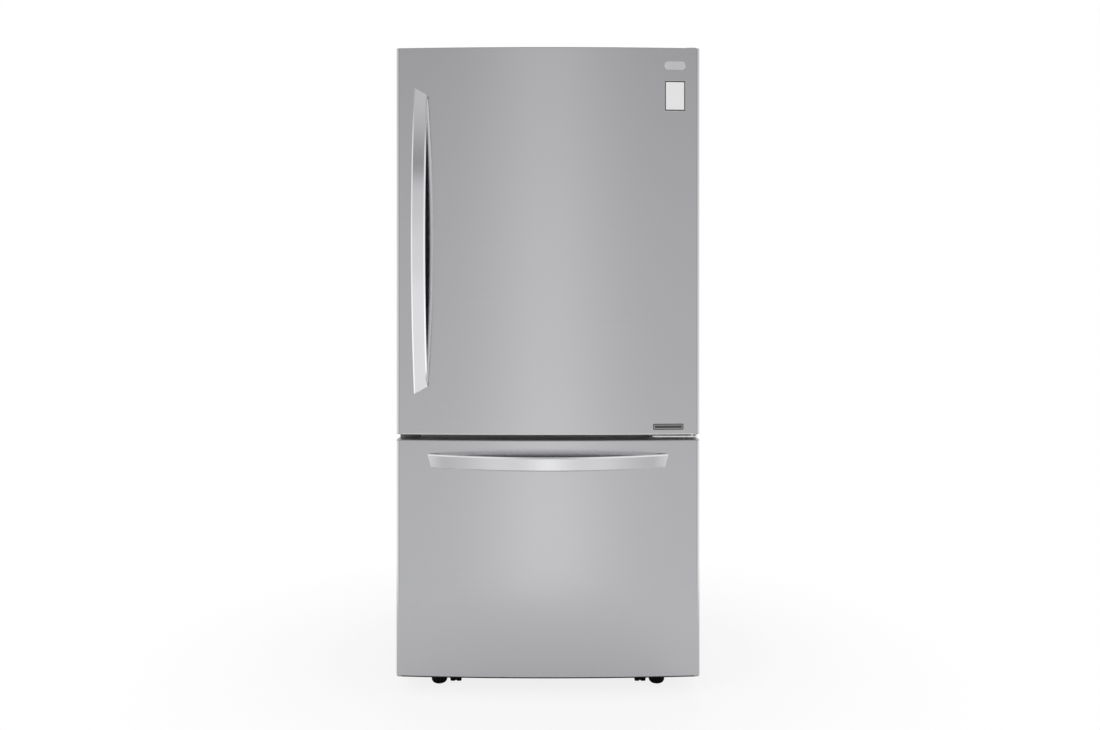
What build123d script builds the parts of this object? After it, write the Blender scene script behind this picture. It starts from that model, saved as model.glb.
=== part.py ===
"""Bottom freezer refrigerator with one hinged door above one freezer drawer.

Millimetres, +Z up, +X to the right and -Y towards the person who opens the door.
The origin is on the floor, under the middle of the whole refrigerator's box.
"""

import math
import os

from build123d import *

# ---------------------------------------------------------------- case
CASE_WIDTH = 826.0
CASE_DEPTH = 724.0
CASE_BOTTOM = 38.0  # lower edge of the case's sides, above the floor
CASE_HEIGHT = 1699.0
CASE_CORNER = 4.0
SHEET = 1.0  # folded steel of the case
LINER = 2.0  # moulded plastic liners
FLANGE_LIP = 3.0  # liner edge that shows inside the steel flange
REAR_INSET = 4.0
REAR_FLANGE = 13.0
PAN_RISE = 22.0  # bottom pan above the lower edge of the sides
PRESSED_FIELD = 2.0  # height of the fields pressed into the back panel
FIELD_COUNT = 3
FIELD_SIDE = 52.0  # pressed fields to the case's sides
FIELD_GAP = 26.0  # round each pressed field
FIELD_CORNER = 26.0

# ---------------------------------------------------------------- inner walls
FRIDGE_SIDE_WALL = 43.0
FRIDGE_TOP_WALL = 55.0
FRIDGE_BACK_WALL = 60.0
FREEZER_SIDE_WALL = 61.0
FREEZER_FLOOR_WALL = 52.0
FREEZER_BACK_WALL = 74.0
MULLION_Z = 703.5  # height of the gap's middle, which is the mullion's middle too
MULLION_THICK = 60.0
LINER_CORNER = 10.0
MACHINE_DEPTH = 210.0
MACHINE_TOP = 250.0
STEP_WALL = 47.0  # foam between the machine room and the freezer

# ---------------------------------------------------------------- door and drawer fronts
DOOR_OVERHANG = 2.0  # door past the case on each side
DOOR_GAP = 12.0  # gasket gap between case and door
DOOR_EDGE = 60.0
DOOR_BULGE = 16.0
DOOR_CORNER = 11.0
DOOR_ABOVE_CASE = 29.0
FRONT_GAP = 15.0  # gap between door and drawer
DRAWER_BOTTOM = 50.0
SKIN = 1.0
HEM = 12.0
CAP_LIP = 3.0
CAP_SKIRT = 12.0
CAP_WALL = 2.5
CAP_ROUND = 2.4  # outer edge of a cap's lip
GASKET_WIDTH = 18.0
GASKET_BASE = 8.0
GASKET_THICK = 9.0  # of the gasket's face, in front of the case
GASKET_ROUND = 3.0
RIM_WIDTH = 20.0  # raised rim of the door's liner
RIM_HEIGHT = 42.0
RIM_CLEAR = 10.0
RIM_ROUND = 4.0
PLATEAU = 15.0  # raised middle of the drawer's liner

# ---------------------------------------------------------------- handles
HANDLE_REACH = 66.0
HANDLE_WIDTH = 37.0
HANDLE_THICK = 11.0
HANDLE_BEVEL = 3.5
DOOR_HANDLE_INSET = 69.0  # handle's middle, in from the door's left edge
DOOR_HANDLE_RISE = 111.0  # lower end above the door's bottom
DOOR_HANDLE_DROP = 111.0  # upper end below the door's top
DOOR_HANDLE_MITRE = 21.0
DRAWER_HANDLE_DROP = 55.8  # handle's middle below the drawer's top
DRAWER_HANDLE_INSET = 87.5  # handle's ends, in from the drawer's edges
DRAWER_HANDLE_MITRE = 10.5
POST_RADIUS = 8.0
POST_FROM_END = 46.0
POST_ROOT = 5.5  # how far a post runs into its bar

# ---------------------------------------------------------------- hinges
HINGE_FROM_SIDE = 18.0  # hinge axis, in from the case's side
HINGE_FROM_BACK = 30.0  # hinge axis, in front of the door's back
HINGE_PLATE = 2.5
HINGE_BASE_LEFT = 43.0  # base plate, from the pin's axis to its left edge
HINGE_BASE_RIGHT = 9.0
HINGE_BASE_SETBACK = 8.0
HINGE_BASE_DEPTH = 87.0
HINGE_RISER_LEFT = 24.0
HINGE_ARM_LEFT = 14.0
HINGE_ARM_FRONT = 12.0
HINGE_ARM_ROUND = 8.0
HINGE_ARM_LIFT = 0.6  # arm above the door's top
HINGE_SCREW_SIDE = 10.0  # screws, in from the base plate's left edge
HINGE_SCREW_FRONT = 26.0
HINGE_SCREW_BACK = 15.0
UPPER_PIN_RADIUS = 4.5
MIDDLE_PIN_RADIUS = 5.0
PIN_PLAY = 0.05
PIN_LENGTH = 20.0
PIN_END_CLEAR = 1.0
BUSH_WALL = 3.5
BOSS_WALL = 4.0
COVER_WALL = 1.2
COVER_CLEAR = 1.5  # inside of the hinge cover to the hinge
COVER_ROUND = 4.0
MIDDLE_PLATE = 4.0
MIDDLE_PLATE_WIDTH = 129.0
MIDDLE_PLATE_FRONT = 18.0  # plate in front of the pin's axis
MIDDLE_PLATE_ROUND = 12.0
MIDDLE_FLANGE_HEIGHT = 17.0
MIDDLE_SCREW_SIDE = 14.5  # screws, in from the freezer's wall
MIDDLE_SCREW_PITCH = 40.0
SCREW_RADIUS = 2.5
SCREW_HEAD_RADIUS = 4.5
SCREW_HEAD = 2.5
HOLE_PLAY = 0.1
COVER_SCREW_INSET = 28.0  # machine room cover's screws, from its ends

# ---------------------------------------------------------------- feet and rollers
FOOT_FROM_SIDE = 107.3  # foot's middle, in from the case's side
FOOT_FROM_FRONT = 22.0
FOOT_RADIUS = 22.0
FOOT_HEIGHT = 20.0
FOOT_ROUND = 13.0
FOOT_EDGE = 1.5
STUD_RADIUS = 5.0
NUT_RADIUS = 9.0
NUT_HEIGHT = 12.0
FRONT_ROLLER_FROM_SIDE = 154.0
FRONT_ROLLER_FROM_FRONT = 24.0
FRONT_ROLLER_RADIUS = 20.0
FRONT_ROLLER_LIFT = 4.0  # front rollers hang this far above the floor
ROLLER_WIDTH = 30.0
ROLLER_ROUND = 2.0
ROLLER_GROOVE_WIDTH = 6.0
ROLLER_GROOVE_DEPTH = 2.0
ROLLER_CLEAR = 4.0  # rear rollers to their window in the rail
REAR_ROLLER_FROM_SIDE = 37.0
REAR_ROLLER_FROM_BACK = 62.0
REAR_ROLLER_RADIUS = 22.0
AXLE_RADIUS = 3.0
CHEEK = 2.0
FRONT_CHEEK_HALF = 12.0
REAR_CHEEK_HALF = 14.0
CHEEK_BELOW_AXLE = 9.0
BRACKET_PLATE = 3.0
BRACKET_SETBACK = 3.0

# ---------------------------------------------------------------- fridge interior
DRAWER_AIR = 6.0  # air above and below the inner drawers
SHELF_THICK = 14.0
GLASS_THICK = 4.0
GLASS_RECESS = 4.0  # glass below the frame's top
SHELF_RIM = 12.0
SHELF_SEAT = 12.0  # ledge under the glass
SHELF_ROUND = 3.5
SHELF_SETBACK = 112.0  # shelf fronts behind the case's front
SHELF_BEHIND = 10.0  # shelves to the air duct
SHELF_SIDE_CLEAR = 2.0
SHELF_PITCH = 146.0
SHELF_HEADROOM = 140.0  # least space from the top shelf to the control panel
LEDGE = 8.0
LEDGE_HEIGHT = 9.0
PANTRY_HEIGHT = 116.0
CRISPER_HEIGHT = 178.0
INNER_DRAWER_SIDE = 32.0  # drawer flange to liner wall
INNER_DRAWER_SETBACK = 6.0  # drawer fronts behind the shelf fronts
INNER_DRAWER_BEHIND = 72.0  # drawers to the air duct
TUB_WALL = 2.5
TUB_CORNER = 16.0
TUB_TAPER = 2.0  # degrees
TUB_FLANGE = 8.0
DRAWER_FACE = 7.5  # thickness of an inner drawer's front
DRAWER_FACE_ROUND = 8.0
GRIP_FROM_SIDE = 100.0
GRIP_BELOW_TOP = 12.5
GRIP_HEIGHT = 20.0
GRIP_DEPTH = 5.0
GRIP_ROUND = 2.5
CENTRE_WEB = 3.0
CENTRE_FOOT = 8.0
CENTRE_HEAD = 16.0
WEB_CLEAR = 1.0  # crispers to the centre web
SLIDE_KNOB_WIDTH = 24.0
SLIDE_KNOB_HEIGHT = 8.0
SLIDE_KNOB_DEPTH = 4.0
SLIDE_NECK_WIDTH = 12.0
SLIDE_NECK_DEPTH = 6.0
SLIDE_SLOT_HEIGHT = 6.0
SLIDE_RIBS = 5
SLIDE_RIB_PITCH = 4.0
SLIDE_RIB = 1.2
SLIDE_RIB_HEIGHT = 7.0
SLIDE_RIB_PROUD = 1.0
SLIDE_TRAVEL = 34.0
SLIDE_FROM_CENTRE = 190.0
DUCT_HALF_WIDTH = 90.0
DUCT_DEPTH = 22.0
DUCT_BEVEL = 7.0
DUCT_END_GAP = 22.0
DUCT_SLOT_WIDTH = 44.0
DUCT_SLOT_HEIGHT = 10.0
DUCT_SLOT_DEPTH = 11.0
DUCT_SLOT_X = 45.0
PANEL_HALF_WIDTH = 110.0
PANEL_SETBACK = 60.0
PANEL_DEPTH = 120.0
PANEL_HEIGHT = 34.0
PANEL_ROUND = 8.5
PANEL_BEVEL = 3.0
BUTTON_RADIUS = 7.0
BUTTON_PROUD = 2.5
BUTTON_TRAVEL = 1.2
BUTTON_DEPTH = 6.0  # of a button inside the panel
BUTTON_SPACING = 73.0
BUTTON_ROUND = 1.0
LAMP_HALF_WIDTH = 70.0
LAMP_DEPTH = 80.0
LAMP_HEIGHT = 12.0
LAMP_ROUND = 12.0
LAMP_BEVEL = 4.0
LAMP_BEHIND_PANEL = 30.0

# ---------------------------------------------------------------- door interior
BIN_TO_SHELF = 14.0  # door bins to the shelf fronts
BIN_HEIGHT = 108.0
BIN_STEP = 222.0
DAIRY_HEADROOM = 90.0  # least space over the dairy box, for its open lid
BIN_ABOVE_RIM = 16.0
BIN_NOTCH = 27.0  # depth of the notch in a bin's front
BIN_LUG = 10.0
LUG_HEIGHT = 12.0
LUG_DEPTH = 40.0
DAIRY_HEIGHT = 100.0
LID_THICK = 2.5
LID_LIP = 16.0
LID_PIN_RADIUS = 2.5
LID_PIN_WALL = 4.0
LID_BEAD = 3.0  # radius of the bead along the lid's axis
LID_SWING = 7.5  # room for the bead above the box's back

# ---------------------------------------------------------------- freezer interior
RAIL_HEIGHT = 45.0
RAIL_LENGTH = 480.0
RAIL_SETBACK = 15.0
RAIL_SHEET = 1.2
RAIL_PACK = 13.0
RAIL_PLAY = 0.3
RAIL_ABOVE_STEP = 10.0
SIDE_PLATE = 2.0
TAB_WIDTH = 30.0
TAB_REACH = 30.0  # tab above and below the rail
TAB_WEB = 8.0
EAR_BEFORE_SHAFT = 12.0
EAR_ABOVE_SHAFT = 10.0
SHAFT_END_CLEAR = 1.0
SHAFT_FROM_END = 25.0  # shaft, in from the rails' rear end
SHAFT_RADIUS = 5.0
GEAR_MODULE = 2.0
GEAR_TEETH = 16
GEAR_WIDTH = 10.0
GEAR_PLAY = 0.3  # backlash along the pitch line
PRESSURE_ANGLE = 20.0
RACK_SETBACK = 20.0
RACK_PAST_SHAFT = 18.0
RACK_BASE = 10.0
BASKET_SIDE = 34.0  # basket side to liner wall
BASKET_TO_STEP = 35.0
BASKET_ABOVE_FLOOR = 13.0
BASKET_RIM = 16.0
BASKET_SETBACK = 12.0
BASKET_RIM_DROP = 8.4  # basket rim below the rail's top
BASKET_LEDGE_CLEAR = 1.6
TRAY_HEIGHT = 106.0
TRAY_SIDE = 22.0
TRAY_BEHIND = 27.0  # tray to the evaporator's cover
TRAY_BELOW_CEILING = 82.0
TRAY_LEDGE = 14.0
COIL_COVER = 2.0
COIL_SPACE = 73.0  # evaporator room in front of the freezer's back
COIL_FAN_DROP = 4.0  # fan axis below the tray's rim
COIL_GAP = 8.0  # cover to coil
COIL_SIDE = 40.0
COIL_RISE = 40.0
COIL_BELOW_FAN = 22.0
COIL_ROWS = 4
COIL_TUBE_INSET = 16.0
COIL_TUBE_END = 6.0
COIL_FIN_PITCH = 28.0
GUARD_SPOKE = 6.0
GUARD_ROOT = 2.0
MOTOR_DEPTH = 12.0
RETURN_SLOTS = 17
RETURN_SLOT_WIDTH = 20.0
RETURN_SLOT_HEIGHT = 8.0
RETURN_SLOT_PITCH = 35.2
RETURN_SLOT_RISE = 20.0

# ---------------------------------------------------------------- machine room
PLATE_SHEET = 2.0
COVER_SHEET = 1.2
COMPRESSOR_RADIUS = 72.0
COMPRESSOR_HEIGHT = 158.0
COMPRESSOR_ROUND = 32.0
COMPRESSOR_FROM_SIDE = 213.0
COMPRESSOR_LIFT = 14.0
SEAM_RISE = 87.0
SEAM_HEIGHT = 4.0
SEAM_PROUD = 3.0
BASE_WIDTH = 140.0
BASE_DEPTH = 110.0
BASE_PLATE = 3.0
RUBBER_RADIUS = 9.0
RUBBER_INSET = 12.0
RELAY_DEPTH = 14.0
RELAY_WIDTH = 44.0
RELAY_RISE = 45.0
RELAY_HEIGHT = 55.0
STUB_X = 20.0
STUB_HEIGHT = 12.0
CONDENSER_FROM_SIDE = 63.0
CONDENSER_LENGTH = 270.0
CONDENSER_DEPTH = 140.0
CONDENSER_BELOW_ROOF = 18.0
CONDENSER_COLUMNS = 5
CONDENSER_ROWS = 3
CONDENSER_ABOVE_PAN = 10.0
FIN_INSET = 4.0
FIN_PITCH = 7.0
FIN_THICK = 0.8
TUBE_RADIUS = 4.0
TRAY_PAN_HEIGHT = 34.0
TRAY_PAN_SIDE = 6.0
TRAY_PAN_CLEAR = 1.0
SHROUD_GAP = 36.0  # condenser to fan shroud
FAN_RADIUS = 60.0
FAN_HUB = 18.0
FAN_CLEAR = 5.0
FAN_WIDTH = 20.0
FAN_CHORD = 37.0
FAN_BLADES = 5
BLADE_THICK = 1.6
BLADE_TILT = 24.0  # degrees
BLADE_ROUND = 6.0
BLADE_ROOT = 2.0
FAN_AXLE_RADIUS = 2.5
AXLE_DEPTH = 11.0  # bore of a fan's axle in its motor
AXLE_END_CLEAR = 1.0
FAN_TO_GUARD = 3.0
COIL_FAN_RADIUS = 48.0
COIL_FAN_WIDTH = 18.0
COIL_FAN_CHORD = 30.0
COIL_FAN_GAP = 2.0  # fan to its motor
SHROUD_SHEET = 3.0
SHROUD_SIDE = 12.0
SHROUD_SPOKE = 6.0
SHROUD_MOTOR = 32.0

# ---------------------------------------------------------------- machine room cover
LOUVRE_WIDTH = 44.0
LOUVRE_HEIGHT = 6.0
LOUVRE_PITCH_X = 58.0
LOUVRE_PITCH_Z = 16.0
LOUVRE_RISE = 48.0  # lowest row above the case's lower edge
LOUVRE_SIDE = 44.0
LOUVRE_DROP = 32.0
OUTLET_SIDE = 44.0
OUTLET_WIDTH = 16.0
OUTLET_HEIGHT = 20.0

FIT = 0.3  # gap between curved faces
PAST = 1.0  # cutting bodies run this far past the faces they cut

# ---------------------------------------------------------------- places worked out from the sizes
TOTAL_DEPTH = CASE_DEPTH + DOOR_GAP + DOOR_EDGE + DOOR_BULGE + HANDLE_REACH
CASE_BACK = TOTAL_DEPTH / 2
CASE_FRONT = CASE_BACK - CASE_DEPTH
CASE_TOP = CASE_BOTTOM + CASE_HEIGHT
CASE_HALF = CASE_WIDTH / 2
INSIDE_HALF = CASE_HALF - SHEET
DOOR_WIDTH = CASE_WIDTH + 2 * DOOR_OVERHANG
FLANGE_BACK = CASE_FRONT + SHEET
PANEL_FRONT = CASE_BACK - REAR_INSET - 2 * SHEET
PAN_TOP = CASE_BOTTOM + PAN_RISE
MACHINE_FRONT = CASE_BACK - MACHINE_DEPTH

DOOR_HALF = DOOR_WIDTH / 2
DOOR_BACK = CASE_FRONT - DOOR_GAP
DOOR_NOSE = DOOR_BACK - DOOR_EDGE - DOOR_BULGE
DOOR_TOP = CASE_TOP + DOOR_ABOVE_CASE
DOOR_BOTTOM = MULLION_Z + FRONT_GAP / 2
DRAWER_TOP = MULLION_Z - FRONT_GAP / 2
HANDLE_FRONT = DOOR_NOSE - HANDLE_REACH
BULGE_RADIUS = (DOOR_HALF**2 + DOOR_BULGE**2) / (2 * DOOR_BULGE)
BULGE_CENTRE = DOOR_NOSE + BULGE_RADIUS
PLATE_BACK = DOOR_BACK - SKIN  # inner face of the doors' plastic liners
PLATE_FRONT = PLATE_BACK - LINER

HINGE_X = CASE_HALF - HINGE_FROM_SIDE
HINGE_Y = DOOR_BACK - HINGE_FROM_BACK

DOOR_HANDLE_X = -DOOR_HALF + DOOR_HANDLE_INSET
DOOR_HANDLE_LOW = DOOR_BOTTOM + DOOR_HANDLE_RISE
DOOR_HANDLE_HIGH = DOOR_TOP - DOOR_HANDLE_DROP
DRAWER_HANDLE_Z = DRAWER_TOP - DRAWER_HANDLE_DROP
DRAWER_HANDLE_LENGTH = DOOR_WIDTH - 2 * DRAWER_HANDLE_INSET
FOOT_X = CASE_HALF - FOOT_FROM_SIDE
FRONT_ROLLER_X = CASE_HALF - FRONT_ROLLER_FROM_SIDE
REAR_ROLLER_X = CASE_HALF - REAR_ROLLER_FROM_SIDE

FRIDGE_HALF = CASE_HALF - FRIDGE_SIDE_WALL
FRIDGE_FLOOR = MULLION_Z + MULLION_THICK / 2
FRIDGE_CEILING = CASE_TOP - FRIDGE_TOP_WALL
FRIDGE_BACK = CASE_BACK - FRIDGE_BACK_WALL
FREEZER_HALF = CASE_HALF - FREEZER_SIDE_WALL
FREEZER_FLOOR = PAN_TOP + FREEZER_FLOOR_WALL
FREEZER_CEILING = MULLION_Z - MULLION_THICK / 2
FREEZER_BACK = CASE_BACK - FREEZER_BACK_WALL
STEP_Y = MACHINE_FRONT - STEP_WALL
STEP_Z = MACHINE_TOP + STEP_WALL

RIM_HALF = FRIDGE_HALF - RIM_CLEAR
RIM_LOW = FRIDGE_FLOOR + RIM_CLEAR
RIM_HIGH = FRIDGE_CEILING - RIM_CLEAR
RIM_BACK = PLATE_BACK + RIM_HEIGHT
BIN_HALF = RIM_HALF - RIM_WIDTH - SHELF_SIDE_CLEAR
BIN_BACK = PLATE_BACK + SHELF_SIDE_CLEAR
SHELF_FRONT = CASE_FRONT + SHELF_SETBACK
BIN_DEPTH = SHELF_FRONT - BIN_TO_SHELF - BIN_BACK
BIN_FIRST = RIM_LOW + RIM_WIDTH + BIN_ABOVE_RIM
BIN_RISE = RIM_HIGH - RIM_WIDTH - DAIRY_HEADROOM - DAIRY_HEIGHT - BIN_FIRST
BIN_COUNT = int(BIN_RISE / BIN_STEP)
BIN_LEVELS = [BIN_FIRST + BIN_STEP * i for i in range(BIN_COUNT)]
DAIRY_LEVEL = BIN_FIRST + BIN_STEP * BIN_COUNT

DUCT_FRONT = FRIDGE_BACK - DUCT_DEPTH
SHELF_DEPTH = DUCT_FRONT - SHELF_BEHIND - SHELF_FRONT
SHELF_HALF = FRIDGE_HALF - SHELF_SIDE_CLEAR
PANTRY_LOW = FRIDGE_FLOOR + DRAWER_AIR
PANTRY_TOP = PANTRY_LOW + PANTRY_HEIGHT
PANTRY_COVER_LOW = PANTRY_TOP + DRAWER_AIR
CRISPER_LOW = PANTRY_COVER_LOW + SHELF_THICK + DRAWER_AIR
CRISPER_TOP = CRISPER_LOW + CRISPER_HEIGHT
CRISPER_COVER_LOW = CRISPER_TOP + DRAWER_AIR
PANEL_LOW = FRIDGE_CEILING - PANEL_HEIGHT
SHELF_RISE = PANEL_LOW - SHELF_HEADROOM - CRISPER_COVER_LOW
SHELF_COUNT = int(SHELF_RISE / SHELF_PITCH)
SHELF_LEVELS = [CRISPER_COVER_LOW + SHELF_PITCH * (i + 1) for i in range(SHELF_COUNT)]
INNER_DRAWER_HALF = FRIDGE_HALF - INNER_DRAWER_SIDE
INNER_DRAWER_FRONT = SHELF_FRONT + INNER_DRAWER_SETBACK
INNER_DRAWER_DEPTH = DUCT_FRONT - INNER_DRAWER_BEHIND - INNER_DRAWER_FRONT
PANEL_FACE = CASE_FRONT + PANEL_SETBACK
HEAD_POCKET = SCREW_HEAD_RADIUS + FIT

RAIL_LOW = STEP_Z + RAIL_ABOVE_STEP
RAIL_HIGH = RAIL_LOW + RAIL_HEIGHT
RAIL_FRONT = CASE_FRONT + RAIL_SETBACK
RAIL_FACE = FREEZER_HALF - RAIL_PACK
PLATEAU_BACK = PLATE_BACK + PLATEAU + SKIN
PLATEAU_HALF = FREEZER_HALF - RIM_CLEAR
GEAR_RADIUS = GEAR_MODULE * GEAR_TEETH / 2
GEAR_ADDENDUM = 0.8 * GEAR_MODULE
GEAR_DEDENDUM = 1.25 * GEAR_MODULE
RACK_LOW = RAIL_HIGH + FIT
PITCH_LINE = RACK_LOW + RACK_BASE
SHAFT_Z = PITCH_LINE + GEAR_RADIUS
SHAFT_Y = RAIL_FRONT + RAIL_LENGTH - SHAFT_FROM_END
RACK_FRONT = CASE_FRONT + RACK_SETBACK
RACK_BACK = SHAFT_Y + RACK_PAST_SHAFT
BASKET_HALF = FREEZER_HALF - BASKET_SIDE
BASKET_FRONT = CASE_FRONT + BASKET_SETBACK
BASKET_BACK = STEP_Y - BASKET_TO_STEP
BASKET_LOW = FREEZER_FLOOR + BASKET_ABOVE_FLOOR
BASKET_RIM_Z = RAIL_HIGH - BASKET_RIM_DROP
TRAY_RIM_Z = FREEZER_CEILING - TRAY_BELOW_CEILING
COIL_COVER_FRONT = FREEZER_BACK - COIL_SPACE
TRAY_DEPTH = COIL_COVER_FRONT - TRAY_BEHIND - RACK_FRONT
COIL_FAN_Z = TRAY_RIM_Z - COIL_FAN_DROP
COMPRESSOR_X = CASE_HALF - COMPRESSOR_FROM_SIDE
CONDENSER_LEFT = -CASE_HALF + CONDENSER_FROM_SIDE
CONDENSER_TOP = MACHINE_TOP - CONDENSER_BELOW_ROOF
SHROUD_X = CONDENSER_LEFT + CONDENSER_LENGTH + SHROUD_GAP


# ---------------------------------------------------------------- small helpers
def block(x0, x1, y0, y1, z0, z1):
    """A box between two corners."""
    middle = Pos((x0 + x1) / 2, (y0 + y1) / 2, (z0 + z1) / 2)
    return middle * Box(x1 - x0, y1 - y0, z1 - z0)


def post(x, y, z0, z1, radius):
    """An upright round bar."""
    return Pos(x, y, (z0 + z1) / 2) * Cylinder(radius, z1 - z0)


def bar_x(x0, x1, y, z, radius):
    """A round bar along X."""
    return Pos((x0 + x1) / 2, y, z) * Rot(0, 90, 0) * Cylinder(radius, x1 - x0)


def bar_y(y0, y1, x, z, radius):
    """A round bar along Y."""
    return Pos(x, (y0 + y1) / 2, z) * Rot(90, 0, 0) * Cylinder(radius, y1 - y0)


def rounded(shape, axis, radius):
    """The shape with all its edges along one axis rounded."""
    return fillet(shape.edges().filter_by(axis), radius)


def frame_y(half, width, z0, z1, y0, y1):
    """A rectangular ring that faces -Y: half and z0 to z1 are its outside."""
    outside = block(-half, half, y0, y1, z0, z1)
    inside = block(-half + width, half - width, y0 - PAST, y1 + PAST, z0 + width, z1 - width)
    return outside - inside


def both_sides(shape):
    """A right-hand piece and its mirror image on the left."""
    return [shape, mirror(shape, about=Plane.YZ)]


def tub(x0, x1, y0, y1, z0, z1):
    """An open plastic tub that narrows a little downwards; the sizes are those of its mouth."""
    height = z1 - z0
    width = x1 - x0
    depth = y1 - y0
    shrink = 2 * height * math.tan(math.radians(TUB_TAPER))
    place = Pos((x0 + x1) / 2, (y0 + y1) / 2, 0)
    thin = 2 * TUB_WALL
    inner_corner = max(TUB_CORNER - TUB_WALL, TUB_CORNER / 2)
    mouth = Pos(0, 0, z1) * RectangleRounded(width, depth, TUB_CORNER)
    floor = Pos(0, 0, z0) * RectangleRounded(width - shrink, depth - shrink, TUB_CORNER)
    inner_mouth = Pos(0, 0, z1) * RectangleRounded(width - thin, depth - thin, inner_corner)
    inner_floor = Pos(0, 0, z0 + TUB_WALL) * RectangleRounded(
        width - shrink - thin, depth - shrink - thin, inner_corner
    )
    outside = loft([floor, mouth], ruled=True)
    inside = loft([inner_floor, inner_mouth], ruled=True)
    return place * (outside - inside)


def case_body(inset, corner, y0, y1, z0):
    """The case's outline moved in by inset, from y0 to y1, with its two upper edges rounded."""
    half = CASE_HALF - inset
    body = block(-half, half, y0, y1, z0, CASE_TOP - inset)
    upper_edges = body.edges().filter_by(Axis.Y).group_by(Axis.Z)[-1]
    return fillet(upper_edges, corner)


def front_outline(inset):
    """Plan outline of a door or drawer front, moved in by inset."""
    half = DOOR_HALF - inset
    radius = BULGE_RADIUS - inset
    corner_y = BULGE_CENTRE - math.sqrt(radius**2 - half**2)
    back = DOOR_BACK - inset
    left_side = Line((-half, back), (-half, corner_y))
    front = ThreePointArc((-half, corner_y), (0, BULGE_CENTRE - radius), (half, corner_y))
    right_side = Line((half, corner_y), (half, back))
    rear = Line((half, back), (-half, back))
    face = make_face([left_side, front, right_side, rear])
    front_corners = face.vertices().group_by(Axis.Y)[0]
    return fillet(front_corners, max(DOOR_CORNER - inset, DOOR_CORNER / 4))


def front_body(inset, z0, z1):
    """A door or drawer front moved in by inset on its sides, from z0 to z1."""
    return Pos(0, 0, z0) * extrude(front_outline(inset), amount=z1 - z0)


def front_surface(x):
    """Where the doors' bowed face lies at one x."""
    return BULGE_CENTRE - math.sqrt(BULGE_RADIUS**2 - x**2)


# ---------------------------------------------------------------- case
def cabinet_wrapper():
    """Sides, top and front flange folded from one steel sheet, with narrow rear flanges."""
    shell = case_body(0, CASE_CORNER, CASE_FRONT, CASE_BACK, CASE_BOTTOM)
    hollow = case_body(SHEET, CASE_CORNER - SHEET, FLANGE_BACK, CASE_BACK + PAST, CASE_BOTTOM - PAST)
    fridge_window = block(
        -FRIDGE_HALF - FLANGE_LIP,
        FRIDGE_HALF + FLANGE_LIP,
        CASE_FRONT - PAST,
        FLANGE_BACK + PAST,
        FRIDGE_FLOOR - FLANGE_LIP,
        FRIDGE_CEILING + FLANGE_LIP,
    )
    freezer_window = block(
        -FREEZER_HALF - FLANGE_LIP,
        FREEZER_HALF + FLANGE_LIP,
        CASE_FRONT - PAST,
        FLANGE_BACK + PAST,
        CASE_BOTTOM - PAST,
        FRIDGE_FLOOR - FLANGE_LIP,
    )
    wrapper = shell - hollow - fridge_window - freezer_window
    flange_back = CASE_BACK - REAR_INSET
    flange_front = flange_back - SHEET
    rear = case_body(SHEET, CASE_CORNER, flange_front, flange_back, CASE_BOTTOM)
    inner_half = CASE_HALF - REAR_FLANGE
    rear -= block(
        -inner_half,
        inner_half,
        flange_front - PAST,
        flange_back + PAST,
        CASE_BOTTOM - PAST,
        CASE_TOP - REAR_FLANGE,
    )
    wrapper += rear
    bore = SCREW_RADIUS + HOLE_PLAY
    holes = [bar_y(flange_front - PAST, flange_back + PAST, x, z, bore) for x, z in cover_screws()]
    holes += [post(x, y, CASE_TOP - SHEET - PAST, CASE_TOP + PAST, bore) for x, y in hinge_screws()]
    return wrapper - holes


def back_panel():
    """Flat steel back inside the rear flanges, with three pressed fields."""
    back = PANEL_FRONT + SHEET
    low = MACHINE_TOP - SHEET
    panel = case_body(SHEET, CASE_CORNER, PANEL_FRONT, back, low)
    top = CASE_TOP - SHEET
    field_half = CASE_HALF - FIELD_SIDE
    step = (top - low) / FIELD_COUNT
    for i in range(FIELD_COUNT):
        z0 = low + i * step + FIELD_GAP
        z1 = low + (i + 1) * step - FIELD_GAP
        field = block(-field_half, field_half, back, back + PRESSED_FIELD, z0, z1)
        raised = rounded(field, Axis.Y, FIELD_CORNER)
        hollow = block(
            -field_half + SHEET,
            field_half - SHEET,
            PANEL_FRONT - PAST,
            back + PRESSED_FIELD - SHEET,
            z0 + SHEET,
            z1 - SHEET,
        )
        panel = panel + raised - rounded(hollow, Axis.Y, FIELD_CORNER - SHEET)
    return panel


def base_pan():
    """Bottom pan: front sill, floor, step over the machine room and its roof."""
    half = INSIDE_HALF
    sill_half = FREEZER_HALF + FLANGE_LIP - FIT
    sill = block(
        -sill_half, sill_half, CASE_FRONT, FLANGE_BACK, CASE_BOTTOM + CASE_CORNER, FREEZER_FLOOR - FLANGE_LIP
    )
    floor = block(-half, half, FLANGE_BACK, MACHINE_FRONT + SHEET, PAN_TOP - SHEET, PAN_TOP)
    step = block(-half, half, MACHINE_FRONT, MACHINE_FRONT + SHEET, PAN_TOP - SHEET, MACHINE_TOP)
    roof = block(-half, half, MACHINE_FRONT, PANEL_FRONT, MACHINE_TOP - SHEET, MACHINE_TOP)
    return sill + floor + step + roof


def cabinet_foam():
    """Foam that fills the case round both liners."""
    core = case_body(SHEET, CASE_CORNER, FLANGE_BACK + LINER, PANEL_FRONT, PAN_TOP)
    machine_room = block(-CASE_HALF, CASE_HALF, MACHINE_FRONT, CASE_BACK, CASE_BOTTOM, MACHINE_TOP)
    return core - machine_room - fridge_space(LINER) - freezer_space(LINER)


def fridge_space(grow):
    """The fridge's inside, grown by the liner's thickness when asked."""
    return block(
        -FRIDGE_HALF - grow,
        FRIDGE_HALF + grow,
        CASE_FRONT - PAST,
        FRIDGE_BACK + grow,
        FRIDGE_FLOOR - grow,
        FRIDGE_CEILING + grow,
    )


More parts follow.
